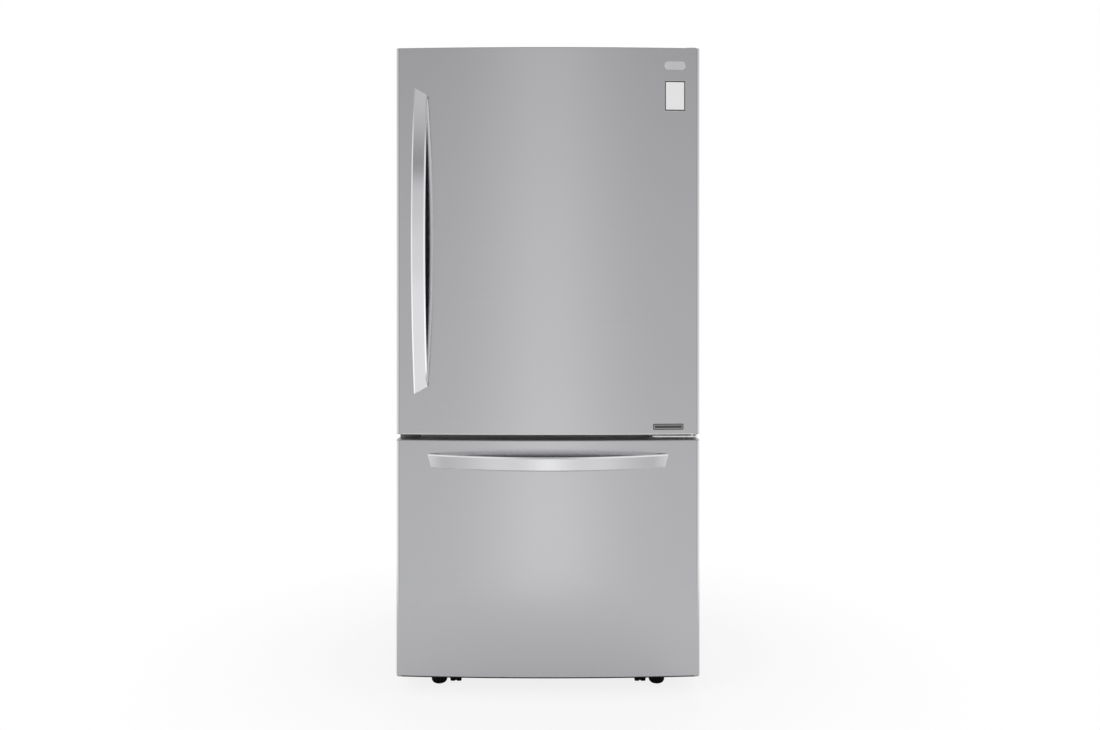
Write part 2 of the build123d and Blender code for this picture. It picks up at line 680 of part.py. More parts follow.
def freezer_space(grow):
    """The freezer's inside, stepped over the machine room."""
    half = FREEZER_HALF + grow
    front = CASE_FRONT - PAST
    low_part = block(-half, half, front, STEP_Y + grow, FREEZER_FLOOR - grow, FREEZER_CEILING + grow)
    high_part = block(-half, half, front, FREEZER_BACK + grow, STEP_Z - grow, FREEZER_CEILING + grow)
    return low_part + high_part


def liner_flange(z0):
    """The part of a liner's front flange that lies behind the steel flange, above z0."""
    return case_body(SHEET, CASE_CORNER, FLANGE_BACK, FLANGE_BACK + LINER, z0)


def fridge_liner():
    """Moulded fridge liner with shelf ledges and drawer runners on its side walls."""
    flange = liner_flange(MULLION_Z)
    back = block(
        -FRIDGE_HALF - LINER,
        FRIDGE_HALF + LINER,
        FLANGE_BACK,
        FRIDGE_BACK + LINER,
        FRIDGE_FLOOR - LINER,
        FRIDGE_CEILING + LINER,
    )
    hollow = rounded(fridge_space(0), Axis.Y, LINER_CORNER)
    liner = flange + back - hollow
    depth_end = SHELF_FRONT + SHELF_DEPTH
    for level in SHELF_LEVELS + [PANTRY_COVER_LOW, CRISPER_COVER_LOW]:
        ledge = block(
            FRIDGE_HALF - LEDGE, FRIDGE_HALF + FIT, SHELF_FRONT, depth_end, level - LEDGE_HEIGHT, level
        )
        liner += both_sides(ledge)
    runner_end = INNER_DRAWER_FRONT + INNER_DRAWER_DEPTH
    for top in (PANTRY_TOP, CRISPER_TOP):
        flange_low = top - TUB_WALL
        runner = block(
            INNER_DRAWER_HALF - TUB_FLANGE + SHELF_SIDE_CLEAR,
            FRIDGE_HALF + FIT,
            INNER_DRAWER_FRONT + TUB_FLANGE,
            runner_end,
            flange_low - LEDGE,
            flange_low,
        )
        liner += both_sides(runner)
    return liner


def freezer_liner():
    """Moulded freezer liner with one ledge on each side for the upper tray."""
    flange = liner_flange(PAN_TOP)
    flange -= block(-CASE_HALF, CASE_HALF, CASE_FRONT, CASE_BACK, MULLION_Z, CASE_TOP)
    body = freezer_space(LINER)
    body -= block(-CASE_HALF, CASE_HALF, CASE_FRONT - 2 * PAST, FLANGE_BACK, 0, CASE_TOP)
    hollow = freezer_space(0)
    upright_edges = hollow.edges().filter_by(Axis.Y).group_by(Axis.Z)
    hollow = fillet(upright_edges[0] + upright_edges[-1], LINER_CORNER)
    liner = flange + body - hollow
    ledge = block(
        FREEZER_HALF - TRAY_LEDGE,
        FREEZER_HALF + FIT,
        RACK_FRONT,
        RACK_FRONT + TRAY_DEPTH,
        TRAY_RIM_Z - LEDGE_HEIGHT,
        TRAY_RIM_Z,
    )
    return liner + both_sides(ledge)


def mullion_cover():
    """Steel strip on the front of the wall between fridge and freezer."""
    half = FREEZER_HALF + FLANGE_LIP - FIT
    low = FREEZER_CEILING + FLANGE_LIP
    strip = block(-half, half, CASE_FRONT, FLANGE_BACK, low, FRIDGE_FLOOR - FLANGE_LIP - FIT)
    return strip - mullion_holes()


# ---------------------------------------------------------------- hinges
def hinge_screws():
    """Where the upper hinge is screwed down, as (x, y)."""
    left = HINGE_X - HINGE_BASE_LEFT + HINGE_SCREW_SIDE
    base_front = CASE_FRONT + HINGE_BASE_SETBACK
    front = base_front + HINGE_SCREW_FRONT
    back = base_front + HINGE_BASE_DEPTH - HINGE_SCREW_BACK
    return [(left, front), (left, back), (HINGE_X, (front + back) / 2)]


def mullion_screws():
    """Where the middle hinge is screwed to the mullion, as x."""
    right = FREEZER_HALF - MIDDLE_SCREW_SIDE
    return [right, right - MIDDLE_SCREW_PITCH]


def mullion_holes():
    """Bores for the middle hinge's screws."""
    front = CASE_FRONT - HINGE_PLATE - PAST
    bore = SCREW_RADIUS + HOLE_PLAY
    return [bar_y(front, FLANGE_BACK + PAST, x, MULLION_Z, bore) for x in mullion_screws()]


def cover_screws():
    """Where the machine room cover is screwed to the rear flanges, as (x, z)."""
    x = INSIDE_HALF - REAR_FLANGE / 2
    low = CASE_BOTTOM + COVER_SCREW_INSET
    high = MACHINE_TOP - COVER_SCREW_INSET
    return [(-x, low), (x, low), (-x, high), (x, high)]


def arm_low():
    """Underside of the upper hinge's arm."""
    return DOOR_TOP + HINGE_ARM_LIFT


def upper_hinge():
    """Bent steel bracket on the case top, whose arm reaches over the door and holds a pin."""
    low = arm_low()
    high = low + HINGE_PLATE
    front = CASE_FRONT + HINGE_BASE_SETBACK
    right = HINGE_X + HINGE_BASE_RIGHT
    base_left = HINGE_X - HINGE_BASE_LEFT
    base = block(base_left, right, front, front + HINGE_BASE_DEPTH, CASE_TOP, CASE_TOP + HINGE_PLATE)
    riser = block(HINGE_X - HINGE_RISER_LEFT, right, front, front + HINGE_PLATE, CASE_TOP, high)
    arm_front = HINGE_Y - HINGE_ARM_FRONT
    arm = block(HINGE_X - HINGE_ARM_LEFT, right, arm_front, front + HINGE_PLATE, low, high)
    front_corners = arm.edges().filter_by(Axis.Z).group_by(Axis.Y)[0]
    arm = fillet(front_corners, HINGE_ARM_ROUND)
    pin = post(HINGE_X, HINGE_Y, DOOR_TOP - PIN_LENGTH, low, UPPER_PIN_RADIUS)
    bore = SCREW_RADIUS + HOLE_PLAY
    holes = [post(x, y, CASE_TOP - PAST, low - PAST, bore) for x, y in hinge_screws()]
    return base + riser + arm + pin - holes


def hinge_cover():
    """Plastic cover over the upper hinge."""
    low = arm_low()
    top = low + HINGE_PLATE + FIT + COVER_WALL
    margin = COVER_CLEAR + COVER_WALL
    base_front = CASE_FRONT + HINGE_BASE_SETBACK
    x0 = HINGE_X - HINGE_BASE_LEFT - margin
    x1 = HINGE_X + HINGE_BASE_RIGHT + margin
    y0 = base_front - margin
    y1 = base_front + HINGE_BASE_DEPTH + margin
    arm_x0 = HINGE_X - HINGE_ARM_LEFT - margin
    arm_y0 = HINGE_Y - HINGE_ARM_FRONT - margin
    overlap = base_front + margin
    rear = rounded(block(x0, x1, y0, y1, CASE_TOP, top), Axis.Z, COVER_ROUND)
    front = rounded(block(arm_x0, x1, arm_y0, overlap, low, top), Axis.Z, COVER_ROUND)
    wall = COVER_WALL
    rear_hollow = block(x0 + wall, x1 - wall, y0 + wall, y1 - wall, CASE_TOP - PAST, top - wall)
    front_hollow = block(arm_x0 + wall, x1 - wall, arm_y0 + wall, overlap, low - PAST, top - wall)
    return rear + front - rear_hollow - front_hollow


def middle_hinge():
    """Steel bracket on the mullion, whose plate lies in the gap and carries the door's lower pin."""
    plate_low = MULLION_Z - MIDDLE_PLATE / 2
    plate_high = plate_low + MIDDLE_PLATE
    right = CASE_HALF - SHEET
    left = right - MIDDLE_PLATE_WIDTH
    plate = block(left, right, HINGE_Y - MIDDLE_PLATE_FRONT, CASE_FRONT, plate_low, plate_high)
    front_corners = plate.edges().filter_by(Axis.Z).group_by(Axis.Y)[0]
    plate = fillet(front_corners, MIDDLE_PLATE_ROUND)
    flange_low = MULLION_Z - MIDDLE_FLANGE_HEIGHT / 2
    flange_high = MULLION_Z + MIDDLE_FLANGE_HEIGHT / 2
    flange = block(left, right, CASE_FRONT - HINGE_PLATE, CASE_FRONT, flange_low, flange_high)
    # The plate is only cut where it meets the flange's screws, behind the heads.
    heads = [
        bar_y(CASE_FRONT - HINGE_PLATE - 2 * SCREW_HEAD, CASE_FRONT - HINGE_PLATE, x, MULLION_Z, HEAD_POCKET)
        for x in mullion_screws()
    ]
    pin = post(HINGE_X, HINGE_Y, plate_high, DOOR_BOTTOM + PIN_LENGTH, MIDDLE_PIN_RADIUS)
    return plate + flange + pin - mullion_holes() - heads


def cabinet_screws():
    """Screws of the upper hinge, of the middle hinge and of the machine room cover."""
    screws = []
    for x, y in hinge_screws():
        shank = post(x, y, CASE_TOP - SHEET, CASE_TOP + HINGE_PLATE, SCREW_RADIUS)
        head = post(x, y, CASE_TOP + HINGE_PLATE, CASE_TOP + HINGE_PLATE + SCREW_HEAD, SCREW_HEAD_RADIUS)
        screws.append(shank + head)
    seat = CASE_FRONT - HINGE_PLATE
    for x in mullion_screws():
        shank = bar_y(seat, FLANGE_BACK, x, MULLION_Z, SCREW_RADIUS)
        head = bar_y(seat - SCREW_HEAD, seat, x, MULLION_Z, SCREW_HEAD_RADIUS)
        screws.append(shank + head)
    rear = CASE_BACK - REAR_INSET
    for x, z in cover_screws():
        shank = bar_y(rear - SHEET - COVER_SHEET, rear, x, z, SCREW_RADIUS)
        head = bar_y(rear, rear + SCREW_HEAD, x, z, SCREW_HEAD_RADIUS)
        screws.append(shank + head)
    return screws


# ---------------------------------------------------------------- chassis
def front_bracket():
    """Right front bracket: plate under the pan, two roller cheeks and the leg's nut."""
    top = PAN_TOP - SHEET
    low = top - BRACKET_PLATE
    front = CASE_FRONT + BRACKET_SETBACK
    roller_y = CASE_FRONT + FRONT_ROLLER_FROM_FRONT
    roller_z = FRONT_ROLLER_LIFT + FRONT_ROLLER_RADIUS
    foot_y = CASE_FRONT + FOOT_FROM_FRONT
    reach = ROLLER_WIDTH / 2 + FIT
    inner = FRONT_ROLLER_X - reach - CHEEK
    right = FOOT_X + NUT_RADIUS + CHEEK
    bracket = block(inner, right, front, roller_y + FRONT_ROLLER_RADIUS, low, top)
    cheek_y0 = roller_y - FRONT_CHEEK_HALF
    cheek_y1 = roller_y + FRONT_CHEEK_HALF
    for x0 in (inner, FRONT_ROLLER_X + reach):
        bracket += block(x0, x0 + CHEEK, cheek_y0, cheek_y1, roller_z - CHEEK_BELOW_AXLE, low)
    bracket += post(FOOT_X, foot_y, low - NUT_HEIGHT, low, NUT_RADIUS)
    bracket -= post(FOOT_X, foot_y, low - NUT_HEIGHT - PAST, top + PAST, STUD_RADIUS + PIN_PLAY)
    bracket -= bar_x(inner - PAST, FOOT_X, roller_y, roller_z, AXLE_RADIUS + PIN_PLAY)
    return bracket


def rear_rail():
    """Compressor rail across the back, with ears for the rear rollers."""
    low = CASE_BOTTOM
    high = low + PLATE_SHEET
    front = MACHINE_FRONT + SHEET
    back = CASE_BACK - REAR_INSET - SHEET - COVER_SHEET
    rail = block(-INSIDE_HALF, INSIDE_HALF, front, back, low, high)
    y = CASE_BACK - REAR_ROLLER_FROM_BACK
    z = REAR_ROLLER_RADIUS
    half_x = ROLLER_WIDTH / 2 + 2 * FIT
    half_y = REAR_ROLLER_RADIUS + ROLLER_CLEAR
    ear_low = z - CHEEK_BELOW_AXLE
    for x in (-REAR_ROLLER_X, REAR_ROLLER_X):
        x0 = x - half_x - CHEEK
        x1 = x + half_x
        rail -= block(x - half_x, x1, y - half_y, y + half_y, low - PAST, high + PAST)
        for ear in (x0, x1):
            rail += block(ear, ear + CHEEK, y - REAR_CHEEK_HALF, y + REAR_CHEEK_HALF, ear_low, low)
        rail -= bar_x(x0 - PAST, x1 + CHEEK + PAST, y, z, AXLE_RADIUS + PIN_PLAY)
    return rail


def roller(x, y, z, radius):
    """A roller with a shallow groove and its own axle ends."""
    half = ROLLER_WIDTH / 2
    wheel = bar_x(x - half, x + half, y, z, radius)
    rims = wheel.edges().filter_by(GeomType.CIRCLE)
    wheel = fillet(rims, ROLLER_ROUND)
    groove_half = ROLLER_GROOVE_WIDTH / 2
    groove = bar_x(x - groove_half, x + groove_half, y, z, radius + PAST)
    groove -= bar_x(x - groove_half, x + groove_half, y, z, radius - ROLLER_GROOVE_DEPTH)
    axle = bar_x(x - half - CHEEK - FIT, x + half + CHEEK + FIT, y, z, AXLE_RADIUS)
    return wheel - groove + axle


def rollers(x, y, z, radius):
    """The left and the right roller of one end."""
    return [roller(-x, y, z, radius), roller(x, y, z, radius)]


def levelling_leg(x):
    """Round foot with a domed edge on its threaded stud."""
    y = CASE_FRONT + FOOT_FROM_FRONT
    foot = post(x, y, 0, FOOT_HEIGHT, FOOT_RADIUS)
    lower_edge = foot.edges().filter_by(GeomType.CIRCLE).group_by(Axis.Z)[0]
    foot = fillet(lower_edge, FOOT_ROUND)
    upper_edge = foot.edges().filter_by(GeomType.CIRCLE).group_by(Axis.Z)[-1]
    foot = chamfer(upper_edge, FOOT_EDGE)
    stud = post(x, y, FOOT_HEIGHT, PAN_TOP - 2 * SHEET, STUD_RADIUS)
    return foot + stud


# ---------------------------------------------------------------- door and drawer fronts
def front_skin(z0, z1):
    """Bowed steel skin with its side edges hemmed behind."""
    skin = front_body(0, z0 + CAP_LIP, z1 - CAP_LIP) - front_body(SKIN, z0, z1)
    open_half = DOOR_HALF - HEM
    return skin - block(-open_half, open_half, PLATE_BACK - PAST, DOOR_BACK + PAST, z0, z1)


def end_cap(z0, z1, skirt_z0, skirt_z1):
    """Plastic cap: a lip with a rounded outer edge over the skin's end, and a skirt inside it."""
    lip = front_body(0, z0, z1)
    outer = lip.edges().group_by(Axis.Z)[-1 if skirt_z0 < z0 else 0]
    lip = fillet(outer, min(CAP_ROUND, 0.8 * CAP_LIP))
    skirt = front_body(SKIN + FIT, skirt_z0, skirt_z1)
    skirt -= front_body(SKIN + FIT + CAP_WALL, skirt_z0, skirt_z1)
    skirt -= block(-DOOR_WIDTH, DOOR_WIDTH, PLATE_FRONT - FIT, DOOR_BACK + PAST, skirt_z0, skirt_z1)
    return lip + skirt


def hinge_boss(z0, z1):
    """Solid corner of a door cap that holds the hinge bush."""
    reach = bush_bore(MIDDLE_PIN_RADIUS) + BOSS_WALL
    side = DOOR_HALF - SKIN - FIT - CAP_WALL / 2
    return block(HINGE_X - reach, side, HINGE_Y - reach, HINGE_Y + reach, z0, z1)


def upper_bush_space(low, high, radius):
    """An upright bar on the hinge axis round the upper pin's place, lengthened as asked."""
    return post(HINGE_X, HINGE_Y, DOOR_TOP - PIN_LENGTH - PIN_END_CLEAR - low, DOOR_TOP + high, radius)


def lower_bush_space(low, high, radius):
    """An upright bar on the hinge axis round the lower pin's place, lengthened as asked."""
    top = DOOR_BOTTOM + PIN_LENGTH + PIN_END_CLEAR + high
    return post(HINGE_X, HINGE_Y, DOOR_BOTTOM - low, top, radius)


def door_end_caps():
    """Top and bottom cap of the door, each with a bore for its hinge bush."""
    boss = PIN_LENGTH + CAP_LIP
    skirt_high = DOOR_TOP - CAP_LIP
    top = end_cap(skirt_high, DOOR_TOP, skirt_high - CAP_SKIRT, skirt_high)
    top += hinge_boss(DOOR_TOP - boss, skirt_high)
    top -= upper_bush_space(0, PAST, bush_bore(UPPER_PIN_RADIUS))
    skirt_low = DOOR_BOTTOM + CAP_LIP
    bottom = end_cap(DOOR_BOTTOM, skirt_low, skirt_low, skirt_low + CAP_SKIRT)
    bottom += hinge_boss(skirt_low, DOOR_BOTTOM + boss)
    bottom -= lower_bush_space(PAST, 0, bush_bore(MIDDLE_PIN_RADIUS))
    return [top, bottom]


def bush_radius(pin_radius):
    """Outer radius of the bush round a hinge pin."""
    return pin_radius + PIN_PLAY + BUSH_WALL


def bush_bore(pin_radius):
    """Radius of the bore that a hinge bush is pressed into."""
    return bush_radius(pin_radius) + PIN_PLAY


def door_bushes():
    """Plastic bushes that turn on the upper and the middle hinge pin."""
    upper = upper_bush_space(0, 0, bush_radius(UPPER_PIN_RADIUS))
    upper -= upper_bush_space(PAST, PAST, UPPER_PIN_RADIUS + PIN_PLAY)
    lower = lower_bush_space(0, 0, bush_radius(MIDDLE_PIN_RADIUS))
    lower -= lower_bush_space(PAST, PAST, MIDDLE_PIN_RADIUS + PIN_PLAY)
    return [upper, lower]


def drawer_end_caps():
    """Top and bottom cap of the drawer front."""
    skirt_high = DRAWER_TOP - CAP_LIP
    top = end_cap(skirt_high, DRAWER_TOP, skirt_high - CAP_SKIRT, skirt_high)
    skirt_low = DRAWER_BOTTOM + CAP_LIP
    bottom = end_cap(DRAWER_BOTTOM, skirt_low, skirt_low, skirt_low + CAP_SKIRT)
    return [top, bottom]


def front_core(z0, z1):
    """Foam between skin, caps and liner plate."""
    core = front_body(SKIN + FIT, z0 + CAP_LIP, z1 - CAP_LIP)
    return core - block(-DOOR_WIDTH, DOOR_WIDTH, PLATE_FRONT, DOOR_BACK + PAST, z0, z1)


def liner_plate(z0, z1):
    """Flat plastic plate that closes the back of a door or drawer front."""
    half = DOOR_HALF - SKIN - FIT
    return block(-half, half, PLATE_FRONT, PLATE_BACK, z0 + CAP_LIP, z1 - CAP_LIP)


def door_foam():
    """Foam in the door and in its raised rim."""
    core = front_core(DOOR_BOTTOM, DOOR_TOP)
    rim = frame_y(
        RIM_HALF - LINER,
        RIM_WIDTH - 2 * LINER,
        RIM_LOW + LINER,
        RIM_HIGH - LINER,
        PLATE_FRONT,
        RIM_BACK - LINER,
    )
    core = core + rim
    for cap in door_end_caps():
        core -= cap
    core -= upper_bush_space(0, 0, bush_bore(UPPER_PIN_RADIUS))
    core -= lower_bush_space(0, 0, bush_bore(MIDDLE_PIN_RADIUS))
    return core


def door_liner():
    """Door liner: flat plate, hollow raised rim and the lugs that carry the bins."""
    rim = frame_y(RIM_HALF, RIM_WIDTH, RIM_LOW, RIM_HIGH, PLATE_BACK, RIM_BACK)
    rim = fillet(rim.edges().group_by(Axis.Y)[-1], RIM_ROUND)
    hollow = frame_y(
        RIM_HALF - LINER,
        RIM_WIDTH - 2 * LINER,
        RIM_LOW + LINER,
        RIM_HIGH - LINER,
        PLATE_FRONT - PAST,
        RIM_BACK - LINER,
    )
    liner = liner_plate(DOOR_BOTTOM, DOOR_TOP) + rim - hollow
    wall = RIM_HALF - RIM_WIDTH
    lug_tops = [level + BIN_HEIGHT - BIN_LUG for level in BIN_LEVELS]
    lug_tops.append(DAIRY_LEVEL + DAIRY_HEIGHT / 2)
    back = PLATE_BACK + LUG_DEPTH
    for top in lug_tops:
        lug = block(wall - BIN_LUG, wall + LINER / 2, PLATE_BACK, back, top - LUG_HEIGHT, top)
        liner += both_sides(lug)
    return liner


def gasket(half, z0, z1):
    """Magnetic gasket: a wide soft face on a narrow root."""
    middle = CASE_FRONT - GASKET_THICK
    face = frame_y(half, GASKET_WIDTH, z0, z1, middle, CASE_FRONT)
    face = fillet(face.edges().filter_by(Axis.Y), GASKET_ROUND)
    inset = (GASKET_WIDTH - GASKET_BASE) / 2
    root = frame_y(half - inset, GASKET_BASE, z0 + inset, z1 - inset, PLATE_BACK, middle)
    return face + root


def door_gasket():
    """Gasket round the fridge's opening."""
    reach = GASKET_WIDTH + FLANGE_LIP - SHEET
    return gasket(FRIDGE_HALF + reach, FRIDGE_FLOOR - reach, FRIDGE_CEILING + reach)


def drawer_gasket():
    """Gasket round the freezer's opening."""
    reach = GASKET_WIDTH + FLANGE_LIP - SHEET
    return gasket(FREEZER_HALF + reach, FREEZER_FLOOR - reach, FREEZER_CEILING + reach)


def drawer_plateau(inset, y0):
    """The raised middle of the drawer's liner, moved in by inset."""
    low = FREEZER_FLOOR + RIM_CLEAR
    high = FREEZER_CEILING - RIM_CLEAR
    half = PLATEAU_HALF - inset
    raised = block(-half, half, y0, PLATEAU_BACK - inset, low + inset, high - inset)
    return rounded(raised, Axis.Y, LINER_CORNER)


def drawer_foam():
    """Foam in the drawer front and under its raised liner."""
    core = front_core(DRAWER_BOTTOM, DRAWER_TOP)
    for cap in drawer_end_caps():
        core -= cap
    return core + drawer_plateau(LINER + FIT, PLATE_FRONT)


def drawer_liner():
    """Drawer liner: flat plate with a raised middle."""
    liner = liner_plate(DRAWER_BOTTOM, DRAWER_TOP) + drawer_plateau(0, PLATE_BACK)
    hollow = drawer_plateau(LINER, PLATE_FRONT - PAST)
    return liner - hollow


# ---------------------------------------------------------------- handles
def bowed_bar(half_length, end_y, mitre):
    """A flat bar along X that bows towards -Y, with bevelled front edges and mitred ends.

    It stands from z = 0 to its width; the mitre shortens the side at z = 0.
    """
    end_front = end_y - HANDLE_THICK
    sagitta = end_front - HANDLE_FRONT
    radius = (half_length**2 + sagitta**2) / (2 * sagitta)
    centre_y = HANDLE_FRONT + radius
    inner = radius - HANDLE_THICK
    slope = math.asin(half_length / radius)
    inner_x = inner * math.sin(slope)
    inner_end = centre_y - inner * math.cos(slope)
    front = ThreePointArc((-half_length, end_front), (0, HANDLE_FRONT), (half_length, end_front))
    right = Line((half_length, end_front), (inner_x, inner_end))
    back = ThreePointArc((inner_x, inner_end), (0, HANDLE_FRONT + HANDLE_THICK), (-inner_x, inner_end))
    left = Line((-inner_x, inner_end), (-half_length, end_front))
    body = extrude(make_face([front, right, back, left]), amount=HANDLE_WIDTH)
    arcs = body.edges().filter_by(GeomType.CIRCLE)
    front_arcs = [edge for edge in arcs if abs(edge.radius - radius) < HANDLE_THICK / 2]
    body = chamfer(front_arcs, HANDLE_BEVEL)
    short = half_length - mitre
    corners = [(-short, 0), (short, 0), (half_length, HANDLE_WIDTH), (-half_length, HANDLE_WIDTH)]
    side_view = Plane.XZ * make_face(Polyline(*corners, close=True))
    slab = extrude(side_view, amount=2 * TOTAL_DEPTH, both=True)
    return body & slab


def bar_back(half_length, end_y, x):
    """Where the back of a bowed bar lies at x along it."""
    end_front = end_y - HANDLE_THICK
    sagitta = end_front - HANDLE_FRONT
    radius = (half_length**2 + sagitta**2) / (2 * sagitta)
    return HANDLE_FRONT + radius - math.sqrt((radius - HANDLE_THICK) ** 2 - x**2)


def door_handle():
    """Long upright handle near the door's left edge, its longer side outwards."""
    half_length = (DOOR_HANDLE_HIGH - DOOR_HANDLE_LOW) / 2
    middle_z = (DOOR_HANDLE_HIGH + DOOR_HANDLE_LOW) / 2
    seat = front_surface(DOOR_HANDLE_X)
    bar = bowed_bar(half_length, seat, DOOR_HANDLE_MITRE)
    outer_x = DOOR_HANDLE_X - HANDLE_WIDTH / 2
    # The bar's width runs from +X to -X here, because its longer side lies at its width's far end.
    upright = Pos(outer_x + HANDLE_WIDTH, 0, middle_z) * Rot(0, -90, 0) * bar
    post_offset = half_length - POST_FROM_END
    reach_back = bar_back(half_length, seat, post_offset)
    for z in (middle_z - post_offset, middle_z + post_offset):
        upright += bar_y(reach_back - POST_ROOT, seat + POST_ROOT, DOOR_HANDLE_X, z, POST_RADIUS)
    return upright - front_body(-FIT, DOOR_BOTTOM, DOOR_TOP)


def drawer_handle():
    """Level handle near the top of the drawer, its longer side upwards."""
    half_length = DRAWER_HANDLE_LENGTH / 2
    seat = front_surface(half_length)
    low = DRAWER_HANDLE_Z - HANDLE_WIDTH / 2
    level = Pos(0, 0, low) * bowed_bar(half_length, seat, DRAWER_HANDLE_MITRE)
    post_offset = half_length - POST_FROM_END
    reach_back = bar_back(half_length, seat, post_offset)
    for x in (-post_offset, post_offset):
        level += bar_y(reach_back - POST_ROOT, seat + POST_ROOT, x, DRAWER_HANDLE_Z, POST_RADIUS)
    return level - front_body(-FIT, DRAWER_BOTTOM, DRAWER_TOP)


# ---------------------------------------------------------------- door interior
def door_bin(level):
    """One door bin with side rims that rest on the liner's lugs."""
    body_half = BIN_HALF - BIN_LUG
    front = BIN_BACK + BIN_DEPTH
    body = tub(-body_half, body_half, BIN_BACK, front, level, level + BIN_HEIGHT)
    rim_low = level + BIN_HEIGHT - BIN_LUG
    rim_y0 = BIN_BACK + TUB_CORNER
    rim_y1 = BIN_BACK + LUG_DEPTH
    rim = block(body_half - TUB_WALL, BIN_HALF, rim_y0, rim_y1, rim_low, rim_low + TUB_WALL)
    top = level + BIN_HEIGHT
    notch_half = body_half - 2 * TUB_CORNER
    notch = block(
        -notch_half, notch_half, front - TUB_CORNER, front + PAST, top - BIN_NOTCH, top + PAST
    )
    return body + both_sides(rim) - notch


def door_bins():
    """The door's open bins."""
    return [door_bin(level) for level in BIN_LEVELS]


def lid_axis():
    """The dairy lid's hinge axis, as (y, z)."""
    inset = LID_PIN_RADIUS + LID_PIN_WALL
    return BIN_BACK + TUB_WALL + inset, DAIRY_LEVEL + DAIRY_HEIGHT - inset


def dairy_front():
    """Outer face of the dairy box's front wall."""
    return BIN_BACK + BIN_DEPTH - LID_THICK - FIT


def dairy_box():
    """Dairy box: floor, low back, straight sides with lid bores, and a front wall."""
    half = BIN_HALF - BIN_LUG
    inner = half - TUB_WALL
    front = dairy_front()
    top = DAIRY_LEVEL + DAIRY_HEIGHT
    past = top + PAST
    axis_y, axis_z = lid_axis()
    lid_low = axis_z - LID_THICK / 2
    box = block(-half, half, BIN_BACK, front, DAIRY_LEVEL, top)
    box -= block(-inner, inner, BIN_BACK + TUB_WALL, front - TUB_WALL, DAIRY_LEVEL + TUB_WALL, past)
    box -= block(-inner, inner, front - 2 * TUB_WALL, front + PAST, lid_low, past)
    box -= block(-inner, inner, BIN_BACK - PAST, axis_y, axis_z - LID_SWING, past)
    box -= bar_x(-half - PAST, half + PAST, axis_y, axis_z, LID_PIN_RADIUS + PIN_PLAY)
    rim_low = DAIRY_LEVEL + DAIRY_HEIGHT / 2
    rim_back = BIN_BACK + LUG_DEPTH / 2
    rim = block(half, BIN_HALF, BIN_BACK + FIT, rim_back, rim_low, rim_low + TUB_WALL)
    return box + both_sides(rim)


def dairy_lid():
    """Clear lid of the dairy box, on two pins."""
    half = BIN_HALF - BIN_LUG - TUB_WALL - FIT
    axis_y, axis_z = lid_axis()
    low = axis_z - LID_THICK / 2
    front = dairy_front() + FIT
    lid = block(-half, half, axis_y, front + LID_THICK, low, low + LID_THICK)
    lid += block(-half, half, front, front + LID_THICK, low - LID_LIP, low)
    lid += bar_x(-half, half, axis_y, axis_z, LID_BEAD)
    return lid + bar_x(-half - TUB_WALL, half + TUB_WALL, axis_y, axis_z, LID_PIN_RADIUS)


# ---------------------------------------------------------------- fridge interior
def shelf_frame(low):
    """Moulded frame round one glass shelf."""
    high = low + SHELF_THICK
    back = SHELF_FRONT + SHELF_DEPTH
    frame = block(-SHELF_HALF, SHELF_HALF, SHELF_FRONT, back, low, high)
    frame -= glass_space(low, 0, SHELF_THICK)
    inset = SHELF_RIM + SHELF_SEAT
    half = SHELF_HALF - inset
    frame -= block(-half, half, SHELF_FRONT + inset, back - inset, low - PAST, high + PAST)
    front_edges = frame.edges().filter_by(Axis.X).group_by(Axis.Y)[0]
    return fillet(front_edges, SHELF_ROUND)


def glass_low(low):
    """Underside of the glass in the frame that starts at low."""
    return low + SHELF_THICK - GLASS_RECESS - GLASS_THICK


def glass_space(low, inset, height):
    """The space of a shelf's glass, moved in by inset, from its seat in the frame upwards."""
    half = SHELF_HALF - SHELF_RIM - inset
    front = SHELF_FRONT + SHELF_RIM + inset
    back = SHELF_FRONT + SHELF_DEPTH - SHELF_RIM - inset
    return block(-half, half, front, back, glass_low(low), glass_low(low) + height)


def centre_rail():
    """Rail under the crisper cover's glass that carries the crispers' inner flanges."""
    foot_top = CRISPER_TOP - TUB_WALL
    back = INNER_DRAWER_FRONT + INNER_DRAWER_DEPTH
    front = INNER_DRAWER_FRONT + TUB_FLANGE
    web = block(-CENTRE_WEB / 2, CENTRE_WEB / 2, front, back, foot_top - LEDGE, CRISPER_COVER_LOW)
    foot = block(-CENTRE_FOOT, CENTRE_FOOT, front, back, foot_top - LEDGE, foot_top)
    head_top = glass_low(CRISPER_COVER_LOW)
    head_front = SHELF_FRONT + SHELF_RIM + SHELF_SEAT
    head_back = SHELF_FRONT + SHELF_DEPTH - SHELF_RIM - SHELF_SEAT
    head = block(-CENTRE_HEAD, CENTRE_HEAD, head_front, head_back, CRISPER_COVER_LOW, head_top)
    return web + foot + head


def slide_slots():
    """Slots in the crisper cover's front rim for the two humidity slides."""
    z = CRISPER_COVER_LOW + SHELF_THICK / 2
    reach = (SLIDE_TRAVEL + SLIDE_NECK_WIDTH) / 2 + FIT
    half_z = SLIDE_SLOT_HEIGHT / 2
    back = SHELF_FRONT + SLIDE_NECK_DEPTH
    slots = []
    for x in (-SLIDE_FROM_CENTRE, SLIDE_FROM_CENTRE):
        slots.append(block(x - reach, x + reach, SHELF_FRONT - PAST, back, z - half_z, z + half_z))
    return slots


